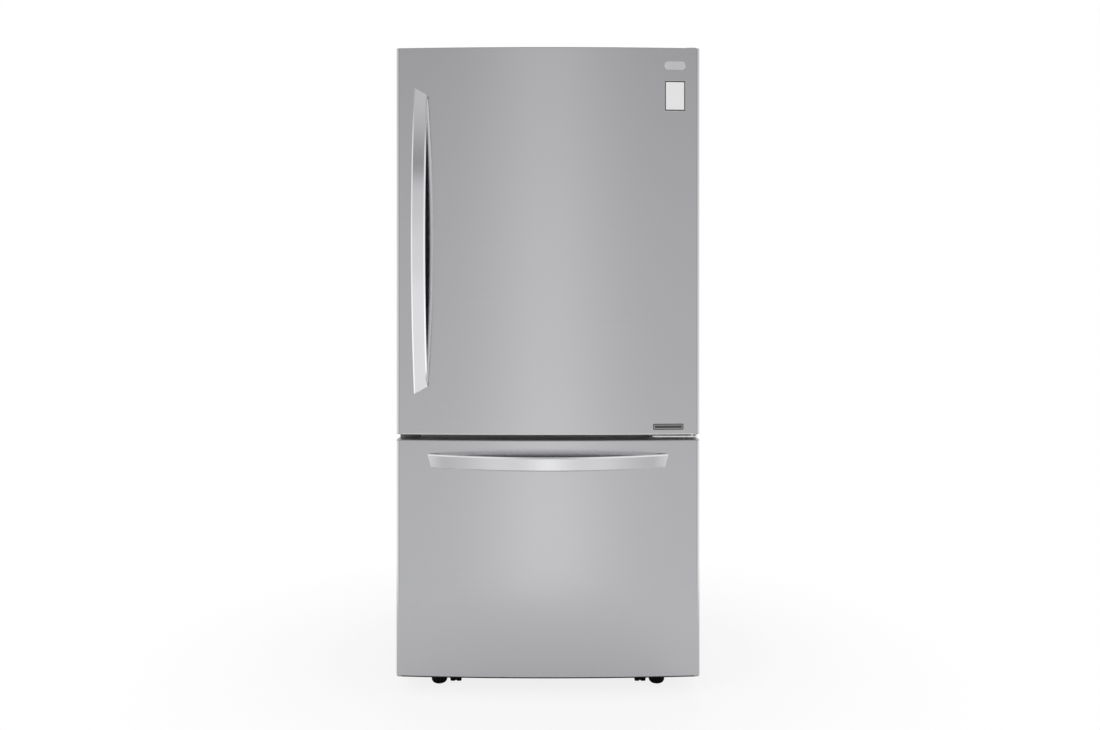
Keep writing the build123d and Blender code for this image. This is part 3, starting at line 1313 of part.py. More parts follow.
def humidity_slide(side):
    """One humidity slide: a neck in the rim's slot and a ribbed knob in front."""
    z = CRISPER_COVER_LOW + SHELF_THICK / 2
    x = side * SLIDE_FROM_CENTRE - SLIDE_TRAVEL / 2
    knob_front = SHELF_FRONT - SLIDE_KNOB_DEPTH
    knob_back = SHELF_FRONT - FIT
    neck_half = SLIDE_NECK_WIDTH / 2
    neck_z = SLIDE_SLOT_HEIGHT / 2 - FIT
    neck_back = SHELF_FRONT + SLIDE_NECK_DEPTH - FIT
    neck = block(x - neck_half, x + neck_half, knob_back, neck_back, z - neck_z, z + neck_z)
    knob_half = SLIDE_KNOB_WIDTH / 2
    knob_z = SLIDE_KNOB_HEIGHT / 2
    knob = block(x - knob_half, x + knob_half, knob_front, knob_back, z - knob_z, z + knob_z)
    rib_half = SLIDE_RIB / 2
    rib_z = SLIDE_RIB_HEIGHT / 2
    for i in range(SLIDE_RIBS):
        rib_x = x + (i - (SLIDE_RIBS - 1) / 2) * SLIDE_RIB_PITCH
        rib_front = knob_front - SLIDE_RIB_PROUD
        knob += block(rib_x - rib_half, rib_x + rib_half, rib_front, knob_front, z - rib_z, z + rib_z)
    return neck + knob


def shelf_frames():
    """Frames of the two covers and of the three shelves, and the crisper cover's centre rail."""
    crisper_cover = shelf_frame(CRISPER_COVER_LOW) - slide_slots()
    shelves = [shelf_frame(level) for level in SHELF_LEVELS]
    return [shelf_frame(PANTRY_COVER_LOW), crisper_cover, centre_rail()] + shelves


def shelf_glasses():
    """Glass of the two covers and of the three shelves."""
    levels = [PANTRY_COVER_LOW, CRISPER_COVER_LOW] + SHELF_LEVELS
    return [glass_space(level, FIT, GLASS_THICK) for level in levels]


def inner_drawer(x0, x1, low, high):
    """A fridge drawer: clear tub, flanges along its sides and a front with a finger lip."""
    front = INNER_DRAWER_FRONT
    back = front + INNER_DRAWER_DEPTH
    face_back = front + DRAWER_FACE
    body_x0 = x0 + TUB_FLANGE + TUB_WALL
    body_x1 = x1 - TUB_FLANGE - TUB_WALL
    body = tub(body_x0, body_x1, face_back - TUB_WALL, back, low, high)
    flange_low = high - TUB_WALL
    wide = block(x0, x1, face_back, back, flange_low, high)
    mouth_x0 = body_x0 + TUB_WALL / 2
    mouth_x1 = body_x1 - TUB_WALL / 2
    mouth_y1 = back - TUB_CORNER
    cut_low = flange_low - PAST
    cut_high = high + PAST
    wide -= block(mouth_x0, mouth_x1, face_back - PAST, mouth_y1, cut_low, cut_high)
    end_x0 = body_x0 + TUB_CORNER
    end_x1 = body_x1 - TUB_CORNER
    wide -= block(end_x0, end_x1, mouth_y1 - TUB_CORNER, back + PAST, cut_low, cut_high)
    face = rounded(block(x0, x1, front, face_back, low + TUB_WALL, high), Axis.Y, DRAWER_FACE_ROUND)
    grip_x0 = x0 + GRIP_FROM_SIDE
    grip_x1 = x1 - GRIP_FROM_SIDE
    grip_z = high - GRIP_BELOW_TOP
    grip = block(grip_x0, grip_x1, front - PAST, front + GRIP_DEPTH, grip_z - GRIP_HEIGHT, grip_z)
    face -= rounded(grip, Axis.Y, GRIP_ROUND)
    return body + wide + face


def crisper(side):
    """Left or right crisper."""
    inner = CENTRE_WEB / 2 + WEB_CLEAR
    if side < 0:
        return inner_drawer(-INNER_DRAWER_HALF, -inner, CRISPER_LOW, CRISPER_TOP)
    return inner_drawer(inner, INNER_DRAWER_HALF, CRISPER_LOW, CRISPER_TOP)


def pantry_drawer():
    """Wide drawer on the fridge's floor."""
    return inner_drawer(-INNER_DRAWER_HALF, INNER_DRAWER_HALF, PANTRY_LOW, PANTRY_TOP)


def air_duct():
    """Tower on the back wall with pairs of air slots."""
    top = FRIDGE_CEILING - DUCT_END_GAP
    low = FRIDGE_FLOOR + DUCT_END_GAP
    front = DUCT_FRONT
    duct = block(-DUCT_HALF_WIDTH, DUCT_HALF_WIDTH, front, FRIDGE_BACK, low, top)
    duct = chamfer(duct.edges().group_by(Axis.Y)[0], DUCT_BEVEL)
    half_x = DUCT_SLOT_WIDTH / 2
    half_z = DUCT_SLOT_HEIGHT / 2
    slot_back = front + DUCT_SLOT_DEPTH
    slots = []
    for level in SHELF_LEVELS:
        z = level + SHELF_PITCH / 2
        for x in (-DUCT_SLOT_X, DUCT_SLOT_X):
            slots.append(block(x - half_x, x + half_x, front - PAST, slot_back, z - half_z, z + half_z))
    return duct - slots


def lamp_cover():
    """Shallow lens under the fridge's ceiling."""
    y0 = PANEL_FACE + PANEL_DEPTH + LAMP_BEHIND_PANEL
    low = FRIDGE_CEILING - LAMP_HEIGHT
    lens = block(-LAMP_HALF_WIDTH, LAMP_HALF_WIDTH, y0, y0 + LAMP_DEPTH, low, FRIDGE_CEILING)
    lens = rounded(lens, Axis.Z, LAMP_ROUND)
    return chamfer(lens.edges().group_by(Axis.Z)[0], LAMP_BEVEL)


def button_places():
    """The two push buttons' x."""
    return [-BUTTON_SPACING / 2, BUTTON_SPACING / 2]


def button_z():
    """The push buttons' height."""
    return (PANEL_LOW + FRIDGE_CEILING) / 2


def control_panel():
    """Control housing under the ceiling, with two blind bores for its buttons."""
    back = PANEL_FACE + PANEL_DEPTH
    panel = block(-PANEL_HALF_WIDTH, PANEL_HALF_WIDTH, PANEL_FACE, back, PANEL_LOW, FRIDGE_CEILING)
    panel = rounded(panel, Axis.Z, PANEL_ROUND)
    lower_front = panel.edges().filter_by(Axis.X).group_by(Axis.Z)[0].sort_by(Axis.Y)[0]
    panel = chamfer(lower_front, PANEL_BEVEL)
    bore_end = PANEL_FACE + BUTTON_DEPTH + BUTTON_TRAVEL + BUTTON_PROUD
    bore = BUTTON_RADIUS + HOLE_PLAY
    bores = [bar_y(PANEL_FACE - PAST, bore_end, x, button_z(), bore) for x in button_places()]
    return panel - bores


def push_button(x):
    """Round push button, proud of the panel by more than its travel."""
    front = PANEL_FACE - BUTTON_PROUD
    button = bar_y(front, PANEL_FACE + BUTTON_DEPTH, x, button_z(), BUTTON_RADIUS)
    front_edge = button.edges().filter_by(GeomType.CIRCLE).group_by(Axis.Y)[0]
    return fillet(front_edge, BUTTON_ROUND)


# ---------------------------------------------------------------- freezer interior
def channel(face_x, wall_x, low, high, y0, y1):
    """A C channel whose web is at wall_x and whose flanges reach to face_x."""
    outside = block(min(face_x, wall_x), max(face_x, wall_x), y0, y1, low, high)
    toward_face = math.copysign(1.0, face_x - wall_x)
    web_inner = wall_x + toward_face * RAIL_SHEET
    past_face = face_x + toward_face * PAST
    hollow_x0 = min(web_inner, past_face)
    hollow_x1 = max(web_inner, past_face)
    hollow_high = high - RAIL_SHEET
    return outside - block(hollow_x0, hollow_x1, y0 - PAST, y1 + PAST, low + RAIL_SHEET, hollow_high)


def outer_rails():
    """Outer members of the telescopic rails, on the freezer's side walls."""
    back = RAIL_FRONT + RAIL_LENGTH
    rail = channel(RAIL_FACE + RAIL_SHEET, FREEZER_HALF, RAIL_LOW, RAIL_HIGH, RAIL_FRONT, back)
    return both_sides(rail)


def middle_rails():
    """Middle members, nested in the outer ones."""
    nest = RAIL_SHEET + RAIL_PLAY
    rail = channel(
        RAIL_FACE + RAIL_SHEET + RAIL_PLAY,
        FREEZER_HALF - nest,
        RAIL_LOW + nest,
        RAIL_HIGH - nest,
        RAIL_FRONT,
        RAIL_FRONT + RAIL_LENGTH,
    )
    return both_sides(rail)


def inner_rail():
    """Right inner member with the steel side plate that carries basket, gear shaft and drawer front."""
    nest = 2 * (RAIL_SHEET + RAIL_PLAY)
    back = RAIL_FRONT + RAIL_LENGTH
    low = RAIL_LOW + nest
    high = RAIL_HIGH - nest
    rail = channel(FREEZER_HALF - nest, RAIL_FACE, low, high, RAIL_FRONT, back)
    plate_x = RAIL_FACE - SIDE_PLATE
    tab_low = RAIL_LOW - TAB_REACH
    tab_high = RAIL_HIGH + TAB_REACH
    tab_back = PLATEAU_BACK + SIDE_PLATE
    plate = block(plate_x, RAIL_FACE, PLATEAU_BACK, back, low, high)
    tab = block(plate_x - TAB_WIDTH, plate_x, PLATEAU_BACK, tab_back, tab_low, tab_high)
    web = block(plate_x, RAIL_FACE, PLATEAU_BACK, PLATEAU_BACK + TAB_WEB, tab_low, tab_high)
    ledge_x = BASKET_HALF + BASKET_LEDGE_CLEAR
    ledge_low = BASKET_RIM_Z - SIDE_PLATE
    ledge = block(ledge_x, plate_x, BASKET_FRONT, BASKET_BACK, ledge_low, BASKET_RIM_Z)
    ear_front = SHAFT_Y - EAR_BEFORE_SHAFT
    ear = block(plate_x, RAIL_FACE, ear_front, back, high, SHAFT_Z + EAR_ABOVE_SHAFT)
    bore = bar_x(plate_x - PAST, RAIL_FACE + PAST, SHAFT_Y, SHAFT_Z, SHAFT_RADIUS + PIN_PLAY)
    return rail + plate + tab + web + ledge + ear - bore


def inner_rails():
    """Both inner members with their side plates."""
    return both_sides(inner_rail())


def involute(radius):
    """The angle that an involute flank has turned through at a radius."""
    base = GEAR_RADIUS * math.cos(math.radians(PRESSURE_ANGLE))
    slope = math.acos(base / radius)
    return math.tan(slope) - slope


def pinion(x0):
    """One pinion of the gear shaft, with one tooth pointing straight down."""
    base = GEAR_RADIUS * math.cos(math.radians(PRESSURE_ANGLE))
    root = GEAR_RADIUS - GEAR_DEDENDUM
    tip = GEAR_RADIUS + GEAR_ADDENDUM
    tooth = math.pi * GEAR_MODULE / 2 - GEAR_PLAY
    half_at_pitch = tooth / (2 * GEAR_RADIUS)
    flank = [base + (tip - base) * i / 4 for i in range(5)]
    half_angles = [half_at_pitch + involute(GEAR_RADIUS) - involute(r) for r in flank]
    points = []
    for i in range(GEAR_TEETH):
        middle = -math.pi / 2 + 2 * math.pi * i / GEAR_TEETH
        rising = [(root, middle - half_angles[0])] + [(r, middle - a) for r, a in zip(flank, half_angles)]
        falling = [(r, 2 * middle - a) for r, a in reversed(rising)]
        points += [(x0, SHAFT_Y + r * math.cos(a), SHAFT_Z + r * math.sin(a)) for r, a in rising + falling]
    return extrude(make_face(Polyline(*points, close=True)), amount=GEAR_WIDTH, dir=(1, 0, 0))


def gear_shaft():
    """Shaft across the freezer that keeps both rails level, with a pinion at each end."""
    end = FREEZER_HALF - SHAFT_END_CLEAR
    shaft = bar_x(-end, end, SHAFT_Y, SHAFT_Z, SHAFT_RADIUS)
    return shaft + pinion(end - GEAR_WIDTH) + pinion(-end)


def gear_rack():
    """Right rack on the freezer's wall, whose gap lies under the pinion's lowest tooth."""
    front = RACK_FRONT
    pitch = math.pi * GEAR_MODULE
    root = PITCH_LINE - GEAR_DEDENDUM
    tip = PITCH_LINE + GEAR_ADDENDUM
    slope = math.tan(math.radians(PRESSURE_ANGLE))
    half_pitch = (pitch / 2 - GEAR_PLAY) / 2
    half_root = half_pitch + GEAR_DEDENDUM * slope
    half_tip = half_pitch - GEAR_ADDENDUM * slope
    first = math.ceil((front - SHAFT_Y) / pitch + 0.5)
    last = math.floor(RACK_PAST_SHAFT / pitch - 0.5)
    x0 = RAIL_FACE + RAIL_SHEET + RAIL_PLAY
    points = [(x0, front, RACK_LOW), (x0, front, root)]
    for i in range(first, last):
        middle = SHAFT_Y + (i + 0.5) * pitch
        points.append((x0, middle - half_root, root))
        points.append((x0, middle - half_tip, tip))
        points.append((x0, middle + half_tip, tip))
        points.append((x0, middle + half_root, root))
    points += [(x0, RACK_BACK, root), (x0, RACK_BACK, RACK_LOW)]
    return extrude(make_face(Polyline(*points, close=True)), amount=FREEZER_HALF - x0, dir=(1, 0, 0))


def gear_racks():
    """Racks on both side walls."""
    return both_sides(gear_rack())


def freezer_basket():
    """Deep basket that hangs by its rim on the side plates' ledges."""
    front = BASKET_FRONT
    back = BASKET_BACK
    low = BASKET_RIM_Z
    high = low + TUB_WALL
    body = tub(-BASKET_HALF, BASKET_HALF, front, back, BASKET_LOW, high)
    rim_half = BASKET_HALF + BASKET_RIM
    rim = rounded(block(-rim_half, rim_half, front, back, low, high), Axis.Z, TUB_CORNER / 2)
    wide_half = BASKET_HALF - TUB_WALL / 2
    long_half = BASKET_HALF - TUB_CORNER
    mouth_y0 = front + TUB_CORNER
    mouth_y1 = back - TUB_CORNER
    rim -= block(-wide_half, wide_half, mouth_y0, mouth_y1, low - PAST, high + PAST)
    rim -= block(-long_half, long_half, front + TUB_WALL, back - TUB_WALL, low - PAST, high + PAST)
    return body + rim


def freezer_tray():
    """Upper tray that slides on the liner's ledges."""
    front = RACK_FRONT
    back = front + TRAY_DEPTH
    half = FREEZER_HALF - TRAY_SIDE
    high = TRAY_RIM_Z + TUB_WALL
    body = tub(-half, half, front, back, high - TRAY_HEIGHT, high)
    rim_half = FREEZER_HALF - SHELF_SIDE_CLEAR
    rim = block(half - TUB_WALL, rim_half, front + TUB_CORNER, back - TUB_CORNER, TRAY_RIM_Z, high)
    return body + both_sides(rim)


def evaporator_cover():
    """Cover in front of the evaporator, with a fan guard above and return slots below."""
    half = FREEZER_HALF - FIT
    front = COIL_COVER_FRONT
    back = front + COIL_COVER
    cover = block(-half, half, front, back, STEP_Z + FIT, FREEZER_CEILING - FIT)
    cover = rounded(cover, Axis.Y, LINER_CORNER)
    opening = COIL_FAN_RADIUS + FAN_CLEAR
    cover -= bar_y(front - PAST, back + PAST, 0, COIL_FAN_Z, opening)
    reach = opening + GUARD_ROOT
    spoke = GUARD_SPOKE / 2
    cover += block(-reach, reach, front, back, COIL_FAN_Z - spoke, COIL_FAN_Z + spoke)
    cover += block(-spoke, spoke, front, back, COIL_FAN_Z - reach, COIL_FAN_Z + reach)
    cover += bar_y(front, back + MOTOR_DEPTH, 0, COIL_FAN_Z, FAN_HUB)
    bore_front = back + MOTOR_DEPTH - AXLE_DEPTH
    cover -= bar_y(bore_front, back + MOTOR_DEPTH + PAST, 0, COIL_FAN_Z, FAN_AXLE_RADIUS + PIN_PLAY)
    slots = []
    half_x = RETURN_SLOT_WIDTH / 2
    slot_low = STEP_Z + RETURN_SLOT_RISE
    slot_high = slot_low + RETURN_SLOT_HEIGHT
    for i in range(RETURN_SLOTS):
        x = (i - (RETURN_SLOTS - 1) / 2) * RETURN_SLOT_PITCH
        slots.append(block(x - half_x, x + half_x, front - PAST, back + PAST, slot_low, slot_high))
    return cover - slots


def fan_blades(radius, width, chord):
    """Hub and twisted blades of a fan that turns about Z, centred on the origin."""
    fan = Cylinder(FAN_HUB, width)
    length = radius - FAN_HUB + BLADE_ROOT
    blade = rounded(Box(length, chord, BLADE_THICK), Axis.Z, BLADE_ROUND)
    start = Pos(FAN_HUB - BLADE_ROOT + length / 2, 0, 0)
    for i in range(FAN_BLADES):
        fan += Rot(0, 0, 360 / FAN_BLADES * i) * start * Rot(BLADE_TILT, 0, 0) * blade
    return fan


def evaporator_fan():
    """Fan behind the evaporator cover's guard."""
    motor_back = COIL_COVER_FRONT + COIL_COVER + MOTOR_DEPTH
    y0 = motor_back + COIL_FAN_GAP
    blades = fan_blades(COIL_FAN_RADIUS, COIL_FAN_WIDTH, COIL_FAN_CHORD)
    fan = Pos(0, y0 + COIL_FAN_WIDTH / 2, COIL_FAN_Z) * Rot(90, 0, 0) * blades
    axle_front = motor_back - AXLE_DEPTH + AXLE_END_CLEAR
    return fan + bar_y(axle_front, y0 + PAST, 0, COIL_FAN_Z, FAN_AXLE_RADIUS)


def fin_positions(y0, y1, pitch):
    """Evenly spaced fin places that fit between y0 and y1."""
    count = int((y1 - y0 - FIN_THICK) / pitch)
    return [y0 + i * (y1 - y0 - FIN_THICK) / count for i in range(count + 1)]


def evaporator():
    """Finned evaporator coil in front of the freezer's back wall."""
    front = COIL_COVER_FRONT + COIL_COVER + COIL_GAP
    half = FREEZER_HALF - COIL_SIDE
    low = STEP_Z + COIL_RISE
    high = COIL_FAN_Z - COIL_FAN_RADIUS - COIL_BELOW_FAN
    pitch = (high - low) / COIL_ROWS
    end = half + COIL_TUBE_END
    tubes = []
    for i in range(COIL_ROWS):
        z = low + (i + 0.5) * pitch
        for y in (front + COIL_TUBE_INSET, FREEZER_BACK - COIL_TUBE_INSET):
            tubes.append(bar_x(-end, end, y, z, TUBE_RADIUS))
    places = fin_positions(-half, half, COIL_FIN_PITCH)
    fins = [block(x, x + FIN_THICK, front, FREEZER_BACK, low, high) for x in places]
    return tubes[0] + tubes[1:] + fins


# ---------------------------------------------------------------- machine room
def rail_top():
    """Upper face of the compressor rail."""
    return CASE_BOTTOM + PLATE_SHEET


def machine_middle():
    """Middle of the machine room's depth."""
    return (MACHINE_FRONT + CASE_BACK) / 2


def compressor():
    """Welded compressor shell on a foot plate with four rubber feet."""
    x = COMPRESSOR_X
    y = machine_middle()
    low = rail_top() + COMPRESSOR_LIFT
    high = low + COMPRESSOR_HEIGHT
    shell = post(x, y, low, high, COMPRESSOR_RADIUS)
    rims = shell.edges().filter_by(GeomType.CIRCLE)
    body = fillet(rims, COMPRESSOR_ROUND)
    seam_z = low + SEAM_RISE
    body += post(x, y, seam_z - SEAM_HEIGHT / 2, seam_z + SEAM_HEIGHT / 2, COMPRESSOR_RADIUS + SEAM_PROUD)
    half_x = BASE_WIDTH / 2
    half_y = BASE_DEPTH / 2
    body += block(x - half_x, x + half_x, y - half_y, y + half_y, low - BASE_PLATE, low + BASE_PLATE)
    for dx in (-half_x + RUBBER_INSET, half_x - RUBBER_INSET):
        for dy in (-half_y + RUBBER_INSET, half_y - RUBBER_INSET):
            body += post(x + dx, y + dy, rail_top(), low, RUBBER_RADIUS)
    side = x - COMPRESSOR_RADIUS
    relay_y = RELAY_WIDTH / 2
    relay_low = low + RELAY_RISE
    relay_high = relay_low + RELAY_HEIGHT
    body += block(side - RELAY_DEPTH, x, y - relay_y, y + relay_y, relay_low, relay_high)
    return body + post(x + STUB_X, y, high - STUB_HEIGHT, high + STUB_HEIGHT, TUBE_RADIUS)


def condenser_span():
    """The condenser's depth range, as (y0, y1)."""
    return machine_middle() - CONDENSER_DEPTH / 2, machine_middle() + CONDENSER_DEPTH / 2


def condenser():
    """Tubes along Y through fins, between two end plates that stand on the rail."""
    y0, y1 = condenser_span()
    x0 = CONDENSER_LEFT
    x1 = x0 + CONDENSER_LENGTH
    low = rail_top()
    fin_low = low + TRAY_PAN_HEIGHT + CONDENSER_ABOVE_PAN
    coil = block(x0, x1, y0, y0 + PLATE_SHEET, low, CONDENSER_TOP)
    coil += block(x0, x1, y1 - PLATE_SHEET, y1, low, CONDENSER_TOP)
    pitch_x = CONDENSER_LENGTH / CONDENSER_COLUMNS
    pitch_z = (CONDENSER_TOP - fin_low) / CONDENSER_ROWS
    for i in range(CONDENSER_COLUMNS):
        for j in range(CONDENSER_ROWS):
            coil += bar_y(y0, y1, x0 + pitch_x * (i + 0.5), fin_low + pitch_z * (j + 0.5), TUBE_RADIUS)
    places = fin_positions(y0 + FIN_PITCH, y1 - FIN_PITCH, FIN_PITCH)
    fin_x0 = x0 + FIN_INSET
    fin_x1 = x1 - FIN_INSET
    fin_high = CONDENSER_TOP - FIN_INSET
    return coil + [block(fin_x0, fin_x1, y, y + FIN_THICK, fin_low, fin_high) for y in places]


def drip_tray():
    """Evaporation pan under the condenser."""
    y0, y1 = condenser_span()
    inset = PLATE_SHEET + TRAY_PAN_CLEAR
    x0 = CONDENSER_LEFT + TRAY_PAN_SIDE
    x1 = CONDENSER_LEFT + CONDENSER_LENGTH - TRAY_PAN_SIDE
    return tub(x0, x1, y0 + inset, y1 - inset, rail_top(), rail_top() + TRAY_PAN_HEIGHT)


def fan_height():
    """Height of the condenser fan's axis."""
    return (rail_top() + CONDENSER_TOP) / 2


def fan_shroud():
    """Upright ring plate with three spokes and the fan's motor."""
    y = machine_middle()
    z = fan_height()
    x0 = SHROUD_X
    x1 = x0 + SHROUD_SHEET
    reach = FAN_RADIUS + FAN_CLEAR
    half_y = reach + SHROUD_SIDE
    shroud = block(x0, x1, y - half_y, y + half_y, rail_top(), CONDENSER_TOP)
    shroud -= bar_x(x0 - PAST, x1 + PAST, y, z, reach)
    spoke_half = SHROUD_SPOKE / 2
    spoke = block(x0, x1, -spoke_half, spoke_half, 0, reach + GUARD_ROOT)
    for angle in (90, 210, 330):
        shroud += Pos(0, y, z) * Rot(angle, 0, 0) * spoke
    shroud += bar_x(x0, x1 + SHROUD_MOTOR, y, z, FAN_HUB)
    return shroud - bar_x(x0 - PAST, x0 + AXLE_DEPTH, y, z, FAN_AXLE_RADIUS + PIN_PLAY)


def condenser_fan():
    """Fan that pulls air through the condenser."""
    y = machine_middle()
    z = fan_height()
    x1 = SHROUD_X - FAN_TO_GUARD
    blades = fan_blades(FAN_RADIUS, FAN_WIDTH, FAN_CHORD)
    fan = Pos(x1 - FAN_WIDTH / 2, y, z) * Rot(0, 90, 0) * blades
    return fan + bar_x(x1 - PAST, SHROUD_X + AXLE_DEPTH - AXLE_END_CLEAR, y, z, FAN_AXLE_RADIUS)


def machine_room_cover():
    """Louvred rear cover with an outlet notch in its lower edge."""
    back = CASE_BACK - REAR_INSET - SHEET
    front = back - COVER_SHEET
    half = INSIDE_HALF - FIT
    low = rail_top() + FIT
    high = MACHINE_TOP - 2 * SHEET
    cover = block(-half, half, front, back, low, high)
    y0 = front - PAST
    y1 = back + PAST
    cuts = [bar_y(y0, y1, x, z, SCREW_RADIUS + HOLE_PLAY) for x, z in cover_screws()]
    columns = int(2 * (half - LOUVRE_SIDE) / LOUVRE_PITCH_X)
    row_low = CASE_BOTTOM + LOUVRE_RISE
    rows = int((high - LOUVRE_DROP - row_low) / LOUVRE_PITCH_Z) + 1
    half_x = LOUVRE_WIDTH / 2
    half_z = LOUVRE_HEIGHT / 2
    for i in range(columns):
        x = (i - (columns - 1) / 2) * LOUVRE_PITCH_X
        for j in range(rows):
            z = row_low + j * LOUVRE_PITCH_Z
            cuts.append(block(x - half_x, x + half_x, y0, y1, z - half_z, z + half_z))
    outlet = half - OUTLET_SIDE
    cuts.append(block(outlet - OUTLET_WIDTH, outlet, y0, y1, low - PAST, low + OUTLET_HEIGHT))
    return cover - cuts


# ---------------------------------------------------------------- all sub-parts
def build_nodes():
    """Every sub-part by name."""
    front_roller_y = CASE_FRONT + FRONT_ROLLER_FROM_FRONT
    rear_roller_y = CASE_BACK - REAR_ROLLER_FROM_BACK
    front_lift = FRONT_ROLLER_LIFT + FRONT_ROLLER_RADIUS
    left_button, right_button = button_places()
    return {
        "cabinet_wrapper": cabinet_wrapper(),
        "back_panel": back_panel(),
        "base_pan": base_pan(),
        "cabinet_foam": cabinet_foam(),
        "fridge_liner": fridge_liner(),
        "freezer_liner": freezer_liner(),
        "mullion_cover": mullion_cover(),
        "machine_room_cover": machine_room_cover(),
        "chassis_brackets": both_sides(front_bracket()) + [rear_rail()],
        "front_rollers": rollers(FRONT_ROLLER_X, front_roller_y, front_lift, FRONT_ROLLER_RADIUS),
        "rear_rollers": rollers(REAR_ROLLER_X, rear_roller_y, REAR_ROLLER_RADIUS, REAR_ROLLER_RADIUS),
        "left_levelling_leg": levelling_leg(-FOOT_X),
        "right_levelling_leg": levelling_leg(FOOT_X),
        "upper_hinge": upper_hinge(),
        "hinge_cover": hinge_cover(),
        "middle_hinge": middle_hinge(),
        "cabinet_screws": cabinet_screws(),
        "compressor": compressor(),
        "condenser": condenser(),
        "fan_shroud": fan_shroud(),
        "condenser_fan": condenser_fan(),
        "drip_tray": drip_tray(),
        "evaporator": evaporator(),
        "evaporator_cover": evaporator_cover(),
        "evaporator_fan": evaporator_fan(),
        "air_duct": air_duct(),
        "lamp_cover": lamp_cover(),
        "control_panel": control_panel(),
        "left_button": push_button(left_button),
        "right_button": push_button(right_button),
        "shelf_frames": shelf_frames(),
        "shelf_glasses": shelf_glasses(),
        "left_crisper": crisper(-1),
        "right_crisper": crisper(1),
        "left_humidity_slide": humidity_slide(-1),
        "right_humidity_slide": humidity_slide(1),
        "pantry_drawer": pantry_drawer(),
        "door_skin": front_skin(DOOR_BOTTOM, DOOR_TOP),
        "door_end_caps": door_end_caps(),
        "door_bushes": door_bushes(),
        "door_foam": door_foam(),
        "door_liner": door_liner(),
        "door_gasket": door_gasket(),
        "door_handle": door_handle(),
        "door_bins": door_bins(),
        "dairy_box": dairy_box(),
        "dairy_lid": dairy_lid(),
        "drawer_skin": front_skin(DRAWER_BOTTOM, DRAWER_TOP),
        "drawer_end_caps": drawer_end_caps(),
        "drawer_foam": drawer_foam(),
        "drawer_liner": drawer_liner(),
        "drawer_gasket": drawer_gasket(),
        "drawer_handle": drawer_handle(),
        "outer_rails": outer_rails(),
        "middle_rails": middle_rails(),
        "inner_rails": inner_rails(),
        "gear_racks": gear_racks(),
        "gear_shaft": gear_shaft(),
        "freezer_basket": freezer_basket(),
        "freezer_tray": freezer_tray(),
    }


def write_parts():
    """One file for each sub-part."""
    os.makedirs("parts", exist_ok=True)
    for name, shape in build_nodes().items():
        solids = shape if isinstance(shape, list) else [shape]
        body = Compound(children=[solid for piece in solids for solid in piece.solids()])
        export_step(body, f"parts/{name}.step")


write_parts()
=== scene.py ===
"""Bottom freezer refrigerator: its finishes, small fittings, stage, lamps and camera.

Every length is in metres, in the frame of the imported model: x across, -y towards the viewer, z up.
"""
import math

import bpy
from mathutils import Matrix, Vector
from mathutils.bvhtree import BVHTree


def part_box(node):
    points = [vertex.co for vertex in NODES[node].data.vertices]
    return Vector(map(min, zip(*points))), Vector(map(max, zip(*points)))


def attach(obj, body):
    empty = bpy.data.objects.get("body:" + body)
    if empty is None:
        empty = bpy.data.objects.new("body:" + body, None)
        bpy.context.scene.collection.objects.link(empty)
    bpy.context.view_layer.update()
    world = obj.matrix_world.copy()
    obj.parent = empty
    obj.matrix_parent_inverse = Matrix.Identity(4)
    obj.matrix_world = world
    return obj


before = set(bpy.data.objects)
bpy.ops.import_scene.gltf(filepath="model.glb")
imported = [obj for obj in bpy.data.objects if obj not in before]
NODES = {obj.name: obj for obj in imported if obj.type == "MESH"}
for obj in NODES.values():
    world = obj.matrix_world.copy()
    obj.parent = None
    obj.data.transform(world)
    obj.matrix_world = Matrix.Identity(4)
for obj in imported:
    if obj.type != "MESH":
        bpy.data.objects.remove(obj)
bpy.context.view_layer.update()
scene = bpy.context.scene

# ------------------------------------------------------------------ camera
PICTURE_WIDTH, PICTURE_HEIGHT = 1100, 730
CAMERA_AWAY = 3.3
CAMERA_HEIGHT = 1.095
FOCAL_PIXELS = 1077.2
VANISHING_POINT = (548.0, 293.7)
SENSOR_WIDTH = 36.0
CLIP_NEAR, CLIP_FAR = 0.05, 60.0


def place_camera():
    """A level camera in front of the doors, with the lens shifted down a little."""
    data = bpy.data.cameras.new("front_camera")
    data.sensor_width = SENSOR_WIDTH
    data.lens = FOCAL_PIXELS / PICTURE_WIDTH * SENSOR_WIDTH
    data.shift_x = (PICTURE_WIDTH / 2 - VANISHING_POINT[0]) / PICTURE_WIDTH
    data.shift_y = (VANISHING_POINT[1] - PICTURE_HEIGHT / 2) / PICTURE_WIDTH
    data.clip_start, data.clip_end = CLIP_NEAR, CLIP_FAR
    camera = bpy.data.objects.new("front_camera", data)
    camera.location = (0.0, -CAMERA_AWAY, CAMERA_HEIGHT)
    camera.rotation_euler = (math.radians(90.0), 0.0, 0.0)
    scene.collection.objects.link(camera)
    scene.camera = camera


